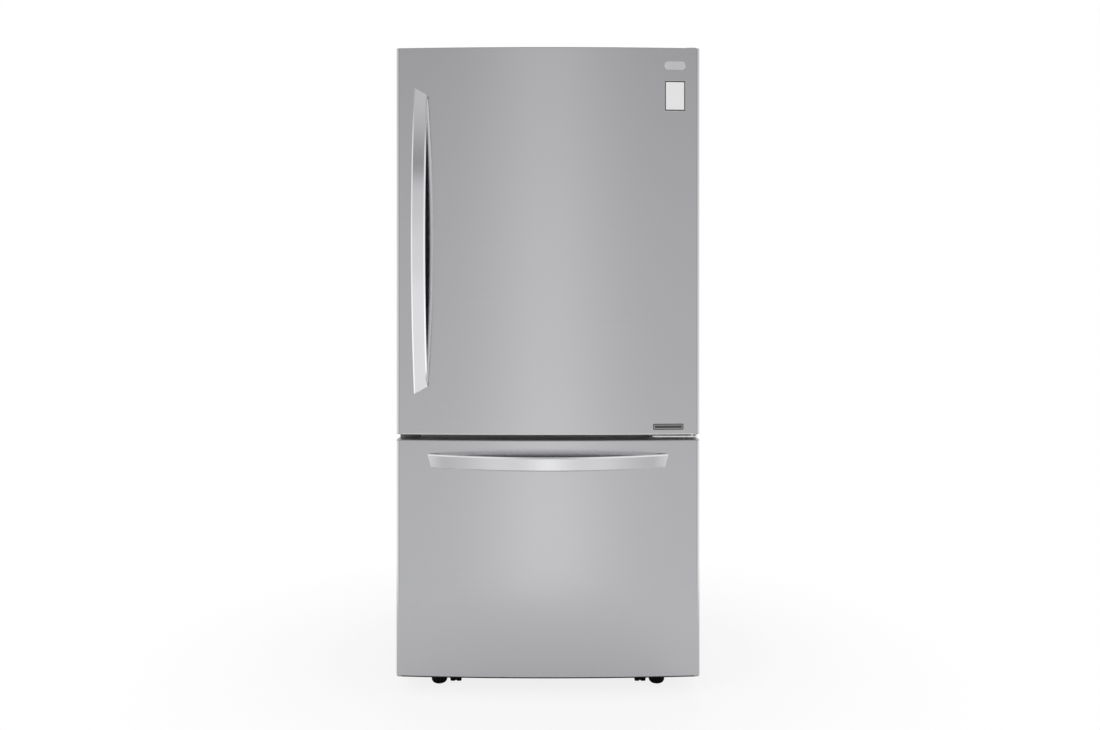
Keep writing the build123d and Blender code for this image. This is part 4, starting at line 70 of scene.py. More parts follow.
# ------------------------------------------------------------------ shader maths
class Sock:
    """An output socket of a node tree. Arithmetic on it adds Math nodes."""

    def __init__(self, socket):
        self.socket = socket
        self.tree = socket.id_data

    def node(self, kind, settings=None, inputs=None, out=0):
        """Adds a node: its settings first, then the values or links of its sockets."""
        new = self.tree.nodes.new(kind)
        for key, value in (settings or {}).items():
            if key == "stops":
                stops = new.color_ramp.elements
                while len(stops) < len(value):
                    stops.new(1.0)
                for stop, (position, level) in zip(stops, value):
                    stop.position = position
                    stop.color = grey(level)
            else:
                setattr(new, key, value)
        for key, value in (inputs or {}).items():
            if isinstance(value, Sock):
                self.tree.links.new(value.socket, new.inputs[key])
            else:
                new.inputs[key].default_value = value
        return Sock(new.outputs[out])

    def math(self, operation, *others, clamp=False):
        """A Math node with this value as its first operand."""
        settings = {"operation": operation, "use_clamp": clamp}
        return self.node("ShaderNodeMath", settings, dict(enumerate((self, *others))))

    def __add__(self, other):
        return self.math("ADD", other)

    def __sub__(self, other):
        return self.math("SUBTRACT", other)

    def __rsub__(self, other):
        return self.node("ShaderNodeMath", {"operation": "SUBTRACT"}, {0: other, 1: self})

    def __mul__(self, other):
        return self.math("MULTIPLY", other)

    def __truediv__(self, other):
        return self.math("DIVIDE", other)

    __radd__ = __add__
    __rmul__ = __mul__

    def part(self, axis):
        """One coordinate of a vector."""
        return self.node("ShaderNodeSeparateXYZ", None, {0: self}, out=axis)

    def stretched(self, x, y, z):
        """The same place with each coordinate multiplied."""
        return self.node("ShaderNodeMapping", None, {"Vector": self, "Scale": (x, y, z)})

    def noise(self, scale, detail=2.0, roughness=0.5):
        """Smooth noise, near 0.5, at this place."""
        inputs = {"Vector": self, "Scale": scale, "Detail": detail, "Roughness": roughness}
        return self.node("ShaderNodeTexNoise", None, inputs)

    def cells(self, scale, out=0):
        """Voronoi cells at this place: their distance, or a colour with out=1."""
        return self.node("ShaderNodeTexVoronoi", {"feature": "F1"}, {"Vector": self, "Scale": scale}, out)

    def mix(self, low, high):
        """A colour between two, with this value as the factor."""
        return self.node("ShaderNodeMix", {"data_type": "RGBA"}, {0: self, 6: low, 7: high}, out=2)

    def ramp(self, stops):
        """The grey that a ramp gives for this value."""
        return self.node("ShaderNodeValToRGB", {"stops": stops}, {0: self})

    def within(self, low, high):
        """1 where this value lies between two numbers, otherwise 0."""
        return self.math("GREATER_THAN", low) * self.math("LESS_THAN", high)

    def bump(self, strength, distance):
        """A normal from this height."""
        return self.node("ShaderNodeBump", None, {"Strength": strength, "Distance": distance, "Height": self})


def grey(level, tint=(1.0, 1.0, 1.0)):
    """A colour from a brightness and a tint."""
    return tuple(level * part for part in tint) + (1.0,)


def surface(name, recipe, **constants):
    """A material. recipe(place) gives the sockets that vary; the constants go straight on the shader."""
    material = bpy.data.materials.new(name)
    material.use_nodes = True
    tree = material.node_tree
    shader = tree.nodes["Principled BSDF"]
    for key, value in constants.items():
        shader.inputs[key.replace("_", " ")].default_value = value
    place = Sock(tree.nodes.new("ShaderNodeTexCoord").outputs["Object"])
    for key, value in recipe(place).items():
        tree.links.new(value.socket, shader.inputs[key.replace("_", " ")])
    return material


# ------------------------------------------------------------------ finishes
STEEL_TINT = (1.0, 1.0, 1.03)
RAIL_TINT = (0.97, 0.99, 1.0)
COOL_TINT = (0.98, 0.99, 1.0)
WARM_TINT = (1.0, 1.0, 0.99)
LINER_TINT = (1.0, 1.0, 0.985)
BIN_TINT = (0.95, 0.985, 1.0)
GLASS_TINT = (0.86, 1.0, 0.93)
SCREW_TINT = (1.0, 0.99, 0.95)
COPPER_TINT = (1.0, 0.62, 0.44)
FOAM_DARK, FOAM_LIGHT = (0.62, 0.50, 0.24, 1.0), (0.80, 0.70, 0.44, 1.0)


def brushed_sheet(place):
    """Cold rolled sheet with a fine grain that runs across the door, under a clear lacquer."""
    hairs = place.stretched(9.0, 9.0, 2600.0).noise(1.0, 3.0, 0.6)
    strands = place.stretched(3.0, 3.0, 420.0).noise(1.0, 2.0, 0.5)
    clouds = place.noise(1.6, 1.0)
    grain = 0.55 * hairs + 0.3 * strands + 0.15 * clouds
    return {
        "Base_Color": grain.mix(grey(0.59, STEEL_TINT), grey(0.665, STEEL_TINT)),
        "Roughness": 0.135 + 0.04 * strands + 0.02 * clouds,
        "Normal": (hairs + 0.5 * strands).bump(0.06, 0.0002),
    }


def satin_bar(place):
    """Polished bar, brushed along its length."""
    hairs = place.stretched(700.0, 700.0, 14.0).noise(1.0, 2.0)
    smudge = place.noise(12.0, 2.0)
    return {
        "Base_Color": hairs.mix(grey(0.88, STEEL_TINT), grey(0.94, STEEL_TINT)),
        "Roughness": 0.10 + 0.03 * hairs + 0.03 * smudge,
        "Normal": hairs.bump(0.04, 0.0002),
    }


def enamel(level, rough=0.42):
    """Powder coat on steel sheet with a fine orange peel."""
    def recipe(place):
        peel = place.noise(420.0, 3.0, 0.55)
        clouds = place.noise(2.5, 2.0)
        return {
            "Base_Color": (0.6 * clouds + 0.4 * peel).mix(grey(level * 0.94), grey(level * 1.06)),
            "Roughness": rough - 0.06 + 0.12 * peel,
            "Normal": peel.bump(0.18, 0.0006),
        }
    return recipe


def moulded(level, tint=(1.0, 1.0, 1.0), rough=0.35, spark=900.0, depth=0.1):
    """Moulded plastic with a spark eroded grain and slight flow marks."""
    def recipe(place):
        grain = place.noise(spark, 2.0, 0.6)
        flow = place.stretched(3.0, 3.0, 1.2).noise(1.0, 2.0)
        return {
            "Base_Color": (0.7 * flow + 0.3 * grain).mix(grey(level * 0.95, tint), grey(level * 1.05, tint)),
            "Roughness": rough - 0.05 + 0.1 * grain,
            "Normal": grain.bump(depth, 0.0003),
        }
    return recipe


def plated(level, tint=(1.0, 1.0, 1.0), rough=0.3, spangle=55.0):
    """Plated or bare metal with faint spangles, each a little lighter or darker."""
    def recipe(place):
        flake = place.cells(spangle, out=1)
        shade = flake.node("ShaderNodeSeparateColor", None, {0: flake})
        haze = place.noise(9.0, 3.0)
        return {
            "Base_Color": (0.6 * shade + 0.4 * haze).mix(grey(level * 0.85, tint), grey(level * 1.12, tint)),
            "Roughness": rough - 0.06 + 0.08 * shade + 0.08 * haze,
            "Normal": place.noise(260.0, 3.0).bump(0.06, 0.0004),
        }
    return recipe


def clear(level, tint, rough, body):
    """Clear moulded plastic or glass: thin to look through, with faint flow lines."""
    def recipe(place):
        flow = place.stretched(4.0, 4.0, 22.0).noise(1.0, 2.0)
        return {
            "Base_Color": flow.mix(grey(level * 0.94, tint), grey(level, tint)),
            "Roughness": rough + 0.04 * flow,
            "Alpha": body + 0.06 * flow,
            "Normal": flow.bump(0.03, 0.0005),
        }
    return recipe


def rubber(level):
    """Extruded or moulded rubber with a dusty bloom."""
    def recipe(place):
        bloom = place.noise(30.0, 4.0, 0.6)
        pores = place.noise(1400.0, 2.0)
        return {
            "Base_Color": bloom.mix(grey(level * 0.75), grey(level * 1.35)),
            "Roughness": 0.52 + 0.16 * bloom,
            "Normal": pores.bump(0.12, 0.0003),
        }
    return recipe


def cellular(place):
    """Cut polyurethane foam: fine closed cells and a yellowed skin."""
    cells = place.cells(520.0)
    skin = place.noise(7.0, 3.0)
    return {
        "Base_Color": skin.mix(FOAM_DARK, FOAM_LIGHT),
        "Roughness": 0.85 + 0.1 * skin,
        "Normal": cells.bump(0.6, 0.0012),
    }


def finned(place):
    """Mill aluminium with oil haze and the fine lines of its fins."""
    haze = place.noise(24.0, 3.0)
    fins = place.stretched(900.0, 60.0, 60.0).noise(1.0, 1.0)
    return {
        "Base_Color": haze.mix(grey(0.58), grey(0.72, COOL_TINT)),
        "Roughness": 0.3 + 0.16 * haze,
        "Normal": fins.bump(0.1, 0.0003),
    }


FINISHES = {
    "stainless": surface("brushed_stainless", brushed_sheet, Metallic=1.0, Coat_Weight=0.5,
                         Coat_Roughness=0.08, Anisotropic=0.8, Anisotropic_Rotation=0.25),
    "handle_steel": surface("satin_handle", satin_bar, Metallic=1.0),
    "painted_case": surface("grey_powder_coat", enamel(0.22)),
    "cap_plastic": surface("silver_cap_plastic", moulded(0.52, rough=0.3), Metallic=0.85),
    "zinc": surface("zinc_plate", plated(0.55), Metallic=1.0),
    "rail_steel": surface("bright_rail_steel", plated(0.60, RAIL_TINT, 0.24, 160.0), Metallic=1.0),
    "white_plastic": surface("white_liner_plastic", moulded(0.80, LINER_TINT, 0.26, 500.0, 0.05)),
    "clear_plastic": surface("clear_bin_plastic", clear(0.84, BIN_TINT, 0.04, 0.26), IOR=1.49),
    "shelf_glass": surface("shelf_glass", clear(0.62, GLASS_TINT, 0.02, 0.16), IOR=1.52),
    "gasket_rubber": surface("gasket_rubber", rubber(0.20)),
    "black_rubber": surface("black_roller_rubber", rubber(0.005), Specular_IOR_Level=0.1),
    "black_plastic": surface("black_plastic", moulded(0.005, rough=0.5), Specular_IOR_Level=0.1),
    "foam": surface("insulation_foam", cellular),
    "black_steel": surface("black_enamel", enamel(0.025, rough=0.35)),
    "grey_plastic": surface("grey_plastic", moulded(0.42, rough=0.4)),
    "coil_aluminium": surface("coil_aluminium", finned, Metallic=1.0),
    "lens_plastic": surface("lamp_lens", clear(0.93, WARM_TINT, 0.3, 0.82), IOR=1.49),
}
# Brighter copies of the zinc and the case paint for two parts in the shaded gap under the door: a painted
# highlight on the hinge plate and painted light on the mullion.
GAP_PAINTED_LIGHT = {
    "middle_hinge": surface("bright_hinge_plate", plated(0.84, WARM_TINT, 0.22, 90.0), Metallic=1.0),
    "mullion_cover": surface("pale_mullion_sheet", enamel(0.62, rough=0.4)),
}


def dress_nodes():
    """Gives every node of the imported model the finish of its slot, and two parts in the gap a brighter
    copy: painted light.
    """
    for node in NODES.values():
        for slot in node.material_slots:
            slot.material = FINISHES[slot.material.name.split(".")[0]]
    for node, finish in GAP_PAINTED_LIGHT.items():
        for slot in NODES[node].material_slots:
            slot.material = finish


# ------------------------------------------------------------------ thin plates on a front
# Middles are (x, z), and sizes are (width, height).
LABEL, LABEL_SIZE = (0.3465, 1.6345), (0.0583, 0.0830)
BADGE, BADGE_SIZE = (0.3280, 0.7322), (0.0830, 0.0165)
NAME, NAME_SIZE = (0.3466, 1.7175), (0.0570, 0.0220)
WINDOW_SIZE = (0.0460, 0.0140)
PLATE_STEPS = 40


def face_of(node, side=-1.0):
    """A function of x and z: the y of a node's front surface there, or of its back with side=1."""
    mesh = NODES[node].data
    tree = BVHTree.FromPolygons([v.co for v in mesh.vertices], [p.vertices[:] for p in mesh.polygons])

    def find(x, z):
        hit = tree.ray_cast(Vector((x, side, z)), Vector((0.0, -side, 0.0)))[0]
        return hit.y
    return find


def corner_drop(x, half, radius):
    """How far a rounded corner has fallen at a distance x from the middle of a plate."""
    past = abs(x) - (half - radius)
    return radius - math.sqrt(max(radius ** 2 - past ** 2, 0.0)) if past > 0.0 else 0.0


def plate(name, node, middle, size, material, body, radius, thickness, edge):
    """A thin plate with rounded corners that follows a node's front, its face edged with a small bevel."""
    front = face_of(node)
    (x_mid, z_mid), (width, height) = middle, size
    layers = ((0.0, 0.0), (thickness - edge, 0.0), (thickness, edge))
    ring = 2 * len(layers)
    vertices, faces = [], []
    for i in range(PLATE_STEPS + 1):
        step = 2.0 * i / PLATE_STEPS - 1.0
        for end, order in ((-1, layers), (1, layers[::-1])):
            for proud, inset in order:
                half = width / 2 - inset
                x = x_mid + step * half
                drop = corner_drop(step * half, half, radius - inset)
                z = z_mid + end * (height / 2 - inset - drop)
                vertices.append((x, front(x, z) - proud, z))
    for i in range(PLATE_STEPS):
        a, b = i * ring, (i + 1) * ring
        for j in range(ring):
            k = (j + 1) % ring
            faces.append((a + j, a + k, b + k, b + j))
    last = PLATE_STEPS * ring
    faces.append(tuple(range(ring))[::-1])
    faces.append(tuple(last + j for j in range(ring)))
    mesh = bpy.data.meshes.new(name)
    mesh.from_pydata(vertices, [], faces)
    mesh.validate()
    mesh.materials.append(material)
    piece = bpy.data.objects.new(name, mesh)
    scene.collection.objects.link(piece)
    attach(piece, body)


def framed(middle, size, field, line, inset, thick):
    """A blank face with one thin line round it, inset from the edge."""
    half_wide, half_tall = 0.5 * size[0], 0.5 * size[1]

    def recipe(place):
        across = (place.part(0) - middle[0]).math("ABSOLUTE")
        up = (place.part(2) - middle[1]).math("ABSOLUTE")
        near = (across + (half_tall - half_wide)).math("MAXIMUM", up)
        mask = near.within(half_tall - inset - thick, half_tall - inset)
        return {
            "Base_Color": mask.mix(field, line),
            "Roughness": 0.32 + 0.1 * place.noise(900.0, 2.0),
        }
    return recipe


def add_plates():
    """The blank places of the label, the badge and the name plate."""
    label_film = surface("label_film", framed(LABEL, LABEL_SIZE, grey(0.88), grey(0.04),
                                              inset=0.0006, thick=0.0034))
    plate("blank_label", "door_skin", LABEL, LABEL_SIZE, label_film, "fridge_door",
          radius=0.0015, thickness=0.0004, edge=0.0001)
    badge_film = surface("badge_film", framed(BADGE, BADGE_SIZE, grey(0.06), grey(0.42),
                                              inset=0.0028, thick=0.0016))
    plate("blank_badge", "door_skin", BADGE, BADGE_SIZE, badge_film, "fridge_door",
          radius=0.0012, thickness=0.0008, edge=0.0002)
    name_steel = surface("name_plate_steel", satin_bar, Metallic=1.0)
    plate("blank_name_plate", "door_skin", NAME, NAME_SIZE, name_steel, "fridge_door",
          radius=0.0098, thickness=0.0010, edge=0.0004)


# ------------------------------------------------------------------ fittings that follow a path or repeat
FRONT = (0.0, -1.0, 0.0)
INPUT_KINDS = {"Base": "NodeSocketGeometry", "Finish": "NodeSocketMaterial", "Facing": "NodeSocketVector"}


def lines(paths):
    """A mesh of open lines, each a list of points."""
    points, edges = [], []
    for path in paths:
        first = len(points)
        points += path
        edges += [(first + i, first + i + 1) for i in range(len(path) - 1)]
    mesh = bpy.data.meshes.new("lines")
    mesh.from_pydata(points, edges, [])
    return mesh


def grown(name, base, build, sizes, finish, body):
    """Runs a geometry tree on a mesh and keeps what it makes as a plain mesh that rides on a body."""
    tree = bpy.data.node_groups.new(name, "GeometryNodeTree")
    tree.interface.new_socket("Made", in_out="OUTPUT", socket_type="NodeSocketGeometry")
    for key in ("Base", "Finish", *sizes):
        tree.interface.new_socket(key, in_out="INPUT", socket_type=INPUT_KINDS.get(key, "NodeSocketFloat"))
    start, end = tree.nodes.new("NodeGroupInput"), tree.nodes.new("NodeGroupOutput")
    given = {socket.name: Sock(socket) for socket in start.outputs if socket.name}
    made = build(given)
    real = made.node("GeometryNodeRealizeInstances", None, {"Geometry": made})
    dressed = real.node("GeometryNodeSetMaterial", None, {"Geometry": real, "Material": given["Finish"]})
    tree.links.new(dressed.socket, end.inputs[0])
    piece = bpy.data.objects.new(name, base)
    scene.collection.objects.link(piece)
    modifier = piece.modifiers.new(name, "NODES")
    modifier.node_group = tree
    values = dict(sizes, Finish=finish)
    for item in tree.interface.items_tree:
        if item.name in values:
            modifier[item.identifier] = values[item.name]
    mesh = bpy.data.meshes.new_from_object(piece.evaluated_get(bpy.context.evaluated_depsgraph_get()))
    piece.modifiers.remove(modifier)
    piece.data = mesh
    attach(piece, body)


def bar_size(deep, tall, rounded, facing=FRONT):
    """The named inputs of bars()."""
    return {"Deep": deep, "Tall": tall, "Round": rounded, "Facing": facing}


def bars(given):
    """A bar with rounded edges along every line: Deep along Facing, Tall across it, its edges Round."""
    curve = given["Base"].node("GeometryNodeMeshToCurve", None, {"Mesh": given["Base"]})
    turned = {"Curve": curve, "Normal": given["Facing"]}
    faced = curve.node("GeometryNodeSetCurveNormal", {"mode": "FREE"}, turned)
    sizes = {"Width": given["Deep"], "Height": given["Tall"]}
    section = curve.node("GeometryNodeCurvePrimitiveQuadrilateral", {"mode": "RECTANGLE"}, sizes)
    fillet = {"Curve": section, "Count": 3, "Radius": given["Round"], "Limit Radius": True}
    soft = section.node("GeometryNodeFilletCurve", {"mode": "POLY"}, fillet)
    swept = {"Curve": faced, "Profile Curve": soft, "Fill Caps": True}
    return faced.node("GeometryNodeCurveToMesh", None, swept)


def tubes(given):
    """A round tube along every line, with its corners bent to the radius Bend."""
    curve = given["Base"].node("GeometryNodeMeshToCurve", None, {"Mesh": given["Base"]})
    fillet = {"Curve": curve, "Count": 6, "Radius": given["Bend"], "Limit Radius": True}
    bent = curve.node("GeometryNodeFilletCurve", {"mode": "POLY"}, fillet)
    ring = {"Resolution": 12, "Radius": given["Radius"]}
    section = curve.node("GeometryNodeCurvePrimitiveCircle", {"mode": "RADIUS"}, ring)
    swept = {"Curve": bent, "Profile Curve": section, "Fill Caps": True}
    pipe = bent.node("GeometryNodeCurveToMesh", None, swept)
    return pipe.node("GeometryNodeSetShadeSmooth", None, {"Geometry": pipe})


def hex_heads(given):
    """A hexagon screw head on a sloped washer at every point, facing the back."""
    def frustum(sides, low, high, depth):
        sizes = {"Vertices": sides, "Radius Bottom": low, "Radius Top": high, "Depth": depth}
        return given["Radius"].node("GeometryNodeMeshCone", {"fill_type": "NGON"}, sizes)

    radius, proud = given["Radius"], given["Proud"]
    washer = frustum(sides=18, low=radius, high=0.86 * radius, depth=0.3 * proud)
    hexagon = frustum(sides=6, low=0.66 * radius, high=0.58 * radius, depth=proud)
    head = washer.node("GeometryNodeJoinGeometry", None, {0: washer})
    head.tree.links.new(hexagon.socket, head.socket.node.inputs[0])
    turn = {"Points": given["Base"], "Instance": head, "Rotation": (math.radians(-90.0), 0.0, 0.0)}
    return given["Base"].node("GeometryNodeInstanceOnPoints", None, turn)


SATIN_TRIM = surface("satin_trim", plated(0.62, COOL_TINT, 0.34, 30.0), Metallic=0.7)
# Near-black plastic: the compressor's real terminal cover, and painted shade on the handles' backs and under
# the drawer's front edge.
DARK_PLASTIC_AND_PAINTED_SHADE = surface("dark_handle_liner", moulded(0.012, rough=0.5), Specular_IOR_Level=0.2)
SHELF_EDGE = surface("grey_shelf_edge", moulded(0.60, COOL_TINT, 0.3))
# Near-white metal for the strip under the door's front edge: a painted highlight.
DOOR_EDGE_HIGHLIGHT = surface("bright_edge_strip", moulded(0.88, rough=0.3), Metallic=0.6)
SCREW_ZINC = surface("screw_zinc", plated(0.72, SCREW_TINT, 0.28, 300.0), Metallic=1.0)
COPPER = surface("copper_line", plated(0.62, COPPER_TINT, 0.28, 40.0), Metallic=1.0)

HANDLE_STEPS = 32
SHADE_STRIP_SPARE, RIM_SPARE = 0.060, 0.030  # free length at each end of a handle
SHADE_STRIP_THICK, SHADE_STRIP_ROUND = 0.0016, 0.0005
SHADE_STRIP_BEHIND = 0.0005  # the painted shade strip's middle, behind the handle's back
RIM_DEEP, RIM_WIDE, RIM_ROUND = 0.0040, 0.0090, 0.0006
RIM_LEAN = math.radians(40.0)  # the rim's face, turned from sideways towards the door
RIM_INSIDE = 0.0003  # the outer corner of that face, inside the handle's side
RIM_SUNK = 0.0006  # and into the handle's back


def add_handle_back(door, body, upright, liner_wide):
    """On the back of a bowed handle, a near-black strip between its posts, painted shade that the door
    reflects, and a bright slanted rim on each edge.
    """
    handle = door + "_handle"
    back = face_of(handle, 1.0)
    low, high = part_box(handle)
    along, across = (2, 0) if upright else (0, 2)
    middle = 0.5 * (low[across] + high[across])
    half = 0.5 * (high[across] - low[across])

    def track(spare, out, behind):
        """Points along the handle's back, out from its middle line and behind its surface."""
        points = []
        for i in range(HANDLE_STEPS + 1):
            run = low[along] + spare + (high[along] - low[along] - 2 * spare) * i / HANDLE_STEPS
            aside = middle + out
            x, z = (aside, run) if upright else (run, aside)
            points.append((x, back(x, z) + behind, z))
        return points

    # The near-black strip is painted shade on the handle's back, seen reflected in the door beside the
    # handle.
    path = track(SHADE_STRIP_SPARE, 0.0, SHADE_STRIP_BEHIND)
    grown(handle + "_liner", lines([path]), bars, bar_size(SHADE_STRIP_THICK, liner_wide, SHADE_STRIP_ROUND),
          DARK_PLASTIC_AND_PAINTED_SHADE, body)
    lean_out, lean_back = math.cos(RIM_LEAN), math.sin(RIM_LEAN)
    inward = RIM_INSIDE + 0.5 * RIM_DEEP * lean_out + 0.5 * RIM_WIDE * lean_back
    behind = 0.5 * RIM_WIDE * lean_out - 0.5 * RIM_DEEP * lean_back - RIM_SUNK
    for side, word in zip((-1, 1), ("left", "right") if upright else ("lower", "upper")):
        facing = [0.0, lean_back, 0.0]
        facing[across] = side * lean_out
        path = track(RIM_SPARE, side * (half - inward), behind)
        grown(handle + "_" + word + "_rim", lines([path]), bars,
              bar_size(RIM_DEEP, RIM_WIDE, RIM_ROUND, tuple(facing)),
              FINISHES["handle_steel"], body)


SHELF_STRIP = bar_size(deep=0.0024, tall=0.0115, rounded=0.0011)
SHELF_STRIP_INSET, SHELF_STRIP_PROUD = 0.004, 0.0004
SHELF_STRIP_LEVELS = (0.8685, 1.2185, 1.3645, 1.5105)  # pantry cover, then the three shelves
CRISPER_STRIP_LEVEL = 1.0725
SLIDE_GAP = (0.148, 0.232)  # left free round each humidity slide, from the middle

BIN_STRIP = bar_size(deep=0.0020, tall=0.0085, rounded=0.0008)
BIN_STRIP_INSET, BIN_STRIP_PROUD = 0.040, 0.0002
BIN_STRIP_LEVELS = (0.8515, 1.0735, 1.2955)


def add_shelf_edges():
    """A rounded edge strip along the front of every shelf and drawer cover."""
    low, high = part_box("shelf_frames")
    half, y = high.x - SHELF_STRIP_INSET, low.y - SHELF_STRIP_PROUD
    inner, outer = SLIDE_GAP
    runs = [(-half, half, z) for z in SHELF_STRIP_LEVELS]
    # The two humidity slides leave three lengths free on the crisper cover.
    runs += [(x0, x1, CRISPER_STRIP_LEVEL) for x0, x1 in ((-half, -outer), (-inner, inner), (outer, half))]
    paths = [[(x0, y, z), (x1, y, z)] for x0, x1, z in runs]
    grown("shelf_edges", lines(paths), bars, SHELF_STRIP, SHELF_EDGE, "cabinet")


def add_bin_edges():
    """A strip along the front of every door bin, under its notch."""
    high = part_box("door_bins")[1]
    half, y = high.x - BIN_STRIP_INSET, high.y + BIN_STRIP_PROUD
    paths = [[(-half, y, z), (half, y, z)] for z in BIN_STRIP_LEVELS]
    grown("bin_edges", lines(paths), bars, BIN_STRIP, SATIN_TRIM, "fridge_door")


BOW_STEPS = 30  # in half a door
BOW_INSET = 0.0035
EDGE_STRIP_BEHIND = 0.0016
DOOR_STRIP = bar_size(deep=0.0040, tall=0.0028, rounded=0.0009)
DRAWER_STRIP = bar_size(deep=0.0040, tall=0.0034, rounded=0.0009)


def along_bow(node, z_front, z):
    """Points across a door at the height z, behind its bowed front as found at the height z_front."""
    front = face_of(node)
    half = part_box(node)[1].x - BOW_INSET
    across = [half * (i / BOW_STEPS - 1.0) for i in range(2 * BOW_STEPS + 1)]
    return [(x, front(x, z_front) + EDGE_STRIP_BEHIND, z) for x in across]


def add_edge_strips():
    """A bright strip under the door's front edge, a painted highlight, and a dark one under the drawer's,
    painted shade.
    """
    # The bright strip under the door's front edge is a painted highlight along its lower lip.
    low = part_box("door_skin")[0].z
    path = along_bow("door_skin", z_front=low + 0.004, z=low - 0.0014)
    grown("door_edge_strip", lines([path]), bars, DOOR_STRIP, DOOR_EDGE_HIGHLIGHT, "fridge_door")
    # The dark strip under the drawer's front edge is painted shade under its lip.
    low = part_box("drawer_end_caps")[0].z
    path = along_bow("drawer_skin", z_front=low + 0.006, z=low + 0.0010)
    grown("drawer_edge_strip", lines([path]), bars, DRAWER_STRIP, DARK_PLASTIC_AND_PAINTED_SHADE,
          "freezer_drawer")


SCREW_SIZES = {"Radius": 0.0055, "Proud": 0.0030}
SCREW_SUNK = 0.0002
SCREW_SIDE_INSET, SCREW_TOP_INSET = 0.010, 0.014
SCREWS_UP = 6
SCREW_END_GAP = 0.03  # from the panel's bottom to a side's first screw, and from its last to the top row
SCREW_TOP_PITCH = 0.21


def add_back_screws():
    """Screws round the back panel: six up each side and three along the top."""
    back = face_of("back_panel", 1.0)
    low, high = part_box("back_panel")
    side, top = high.x - SCREW_SIDE_INSET, high.z - SCREW_TOP_INSET
    rise = (top - low.z - 2 * SCREW_END_GAP) / (SCREWS_UP - 1)
    places = [(s * side, low.z + SCREW_END_GAP + rise * i) for s in (-1, 1) for i in range(SCREWS_UP)]
    places += [(SCREW_TOP_PITCH * i, top) for i in (-1, 0, 1)]
    mesh = bpy.data.meshes.new("screw_places")
    mesh.from_pydata([(x, back(x, z) - SCREW_SUNK, z) for x, z in places], [], [])
    grown("back_panel_screws", mesh, hex_heads, SCREW_SIZES, SCREW_ZINC, "cabinet")


LINE_SIZES = {"Radius": 0.0032, "Bend": 0.016}
LINE_OVER_SHROUD, CONDENSER_DROP = 0.009, 0.016
SUCTION_END = 0.2492  # inside the sheet of the machine room's roof
TERMINAL_SIZE = bar_size(deep=0.034, tall=0.056, rounded=0.006)


def add_machine_room_lines():
    """Refrigerant lines between compressor, condenser and roof, and the compressor's terminal cover."""
    low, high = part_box("compressor")
    x, top = 0.5 * (low.x + high.x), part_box("fan_shroud")[1].z + LINE_OVER_SHROUD
    discharge = [(x - 0.055, 0.300, 0.150), (0.050, 0.300, 0.150), (0.050, 0.300, top),
                 (-0.105, 0.300, top), (-0.105, 0.300, top - CONDENSER_DROP)]
    suction = [(x - 0.058, 0.360, 0.130), (0.085, 0.360, 0.130), (0.085, 0.360, SUCTION_END)]
    stub = [(x - 0.045, 0.372, 0.100), (0.100, 0.400, 0.100), (0.100, 0.400, 0.165)]
    grown("refrigerant_lines", lines([discharge, suction, stub]), tubes, LINE_SIZES,
          COPPER, "cabinet")
    cover = [(x + 0.018, 0.405, 0.100), (x + 0.018, 0.405, 0.158)]
    grown("terminal_cover", lines([cover]), bars, TERMINAL_SIZE, DARK_PLASTIC_AND_PAINTED_SHADE, "cabinet")


BAR_PITCH = 0.006
BAR_SHARE = 0.55  # of the pitch
BARS_HALF_WIDE, BARS_HALF_TALL = 0.0175, 0.0038
MIDDLE_BAR = 0.55  # height halfway along the row, as a share of the last bar's


def lit_bars(middle):
    """A dark window with a row of lit bars that grow to the right."""
    def recipe(place):
        across, up = place.part(0) - middle[0], place.part(2) - middle[1]
        column = (across / BAR_PITCH + 0.5 * BAR_SHARE).math("FRACT").within(0.0, BAR_SHARE)
        reach = BARS_HALF_TALL * (MIDDLE_BAR + (1.0 - MIDDLE_BAR) * across / BARS_HALF_WIDE)
        tall = up.math("ABSOLUTE").math("LESS_THAN", reach)
        mask = column * across.within(-BARS_HALF_WIDE, BARS_HALF_WIDE) * tall
        return {
            "Base_Color": mask.mix(grey(0.012), grey(0.5, (0.75, 0.92, 1.0))),
            "Emission_Color": mask.mix(grey(0.0), grey(0.6, (0.62, 0.88, 1.0))),
            "Roughness": 0.12 + 0.06 * place.noise(700.0, 2.0),
        }
    return recipe


def add_display():
    """The control panel's dark window between its two buttons."""
    low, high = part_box("control_panel")
    middle = (0.5 * (low.x + high.x), 0.5 * (low.z + high.z))
    window = surface("display_window_film", lit_bars(middle), Emission_Strength=1.0)
    plate("display_window", "control_panel", middle, WINDOW_SIZE, window, "cabinet",
          radius=0.0025, thickness=0.0007, edge=0.0003)


# ------------------------------------------------------------------ stage and light
STUDIO_AMBIENT = 0.62  # the even light on everything that isn't a reflection
# What reflections show: brightness by degrees above the horizon, and by distance from straight ahead.
STUDIO_RISE = ((-90.0, 1.12), (-9.5, 1.12), (-6.5, 1.01), (3.0, 0.975), (6.0, 0.93), (9.0, 0.885),
               (12.0, 0.85), (15.0, 0.85), (17.5, 0.81), (20.0, 0.66), (22.5, 0.43), (25.0, 0.41),
               (27.5, 0.47), (30.0, 0.53), (35.0, 0.66), (41.0, 0.74), (50.0, 0.80), (90.0, 0.85))
STUDIO_TURN = ((0.0, 0.80), (0.04, 0.785), (0.10, 0.71), (0.17, 0.645), (0.25, 0.62), (0.33, 0.635),
               (0.42, 0.61), (0.50, 0.55), (0.57, 0.50), (0.70, 0.43), (0.79, 0.74), (0.87, 1.0), (1.0, 1.0))
WALLS_FROM = 0.3  # directions that point less than this towards the viewer run on into the bright walls
WALLS_GAIN = 4.0

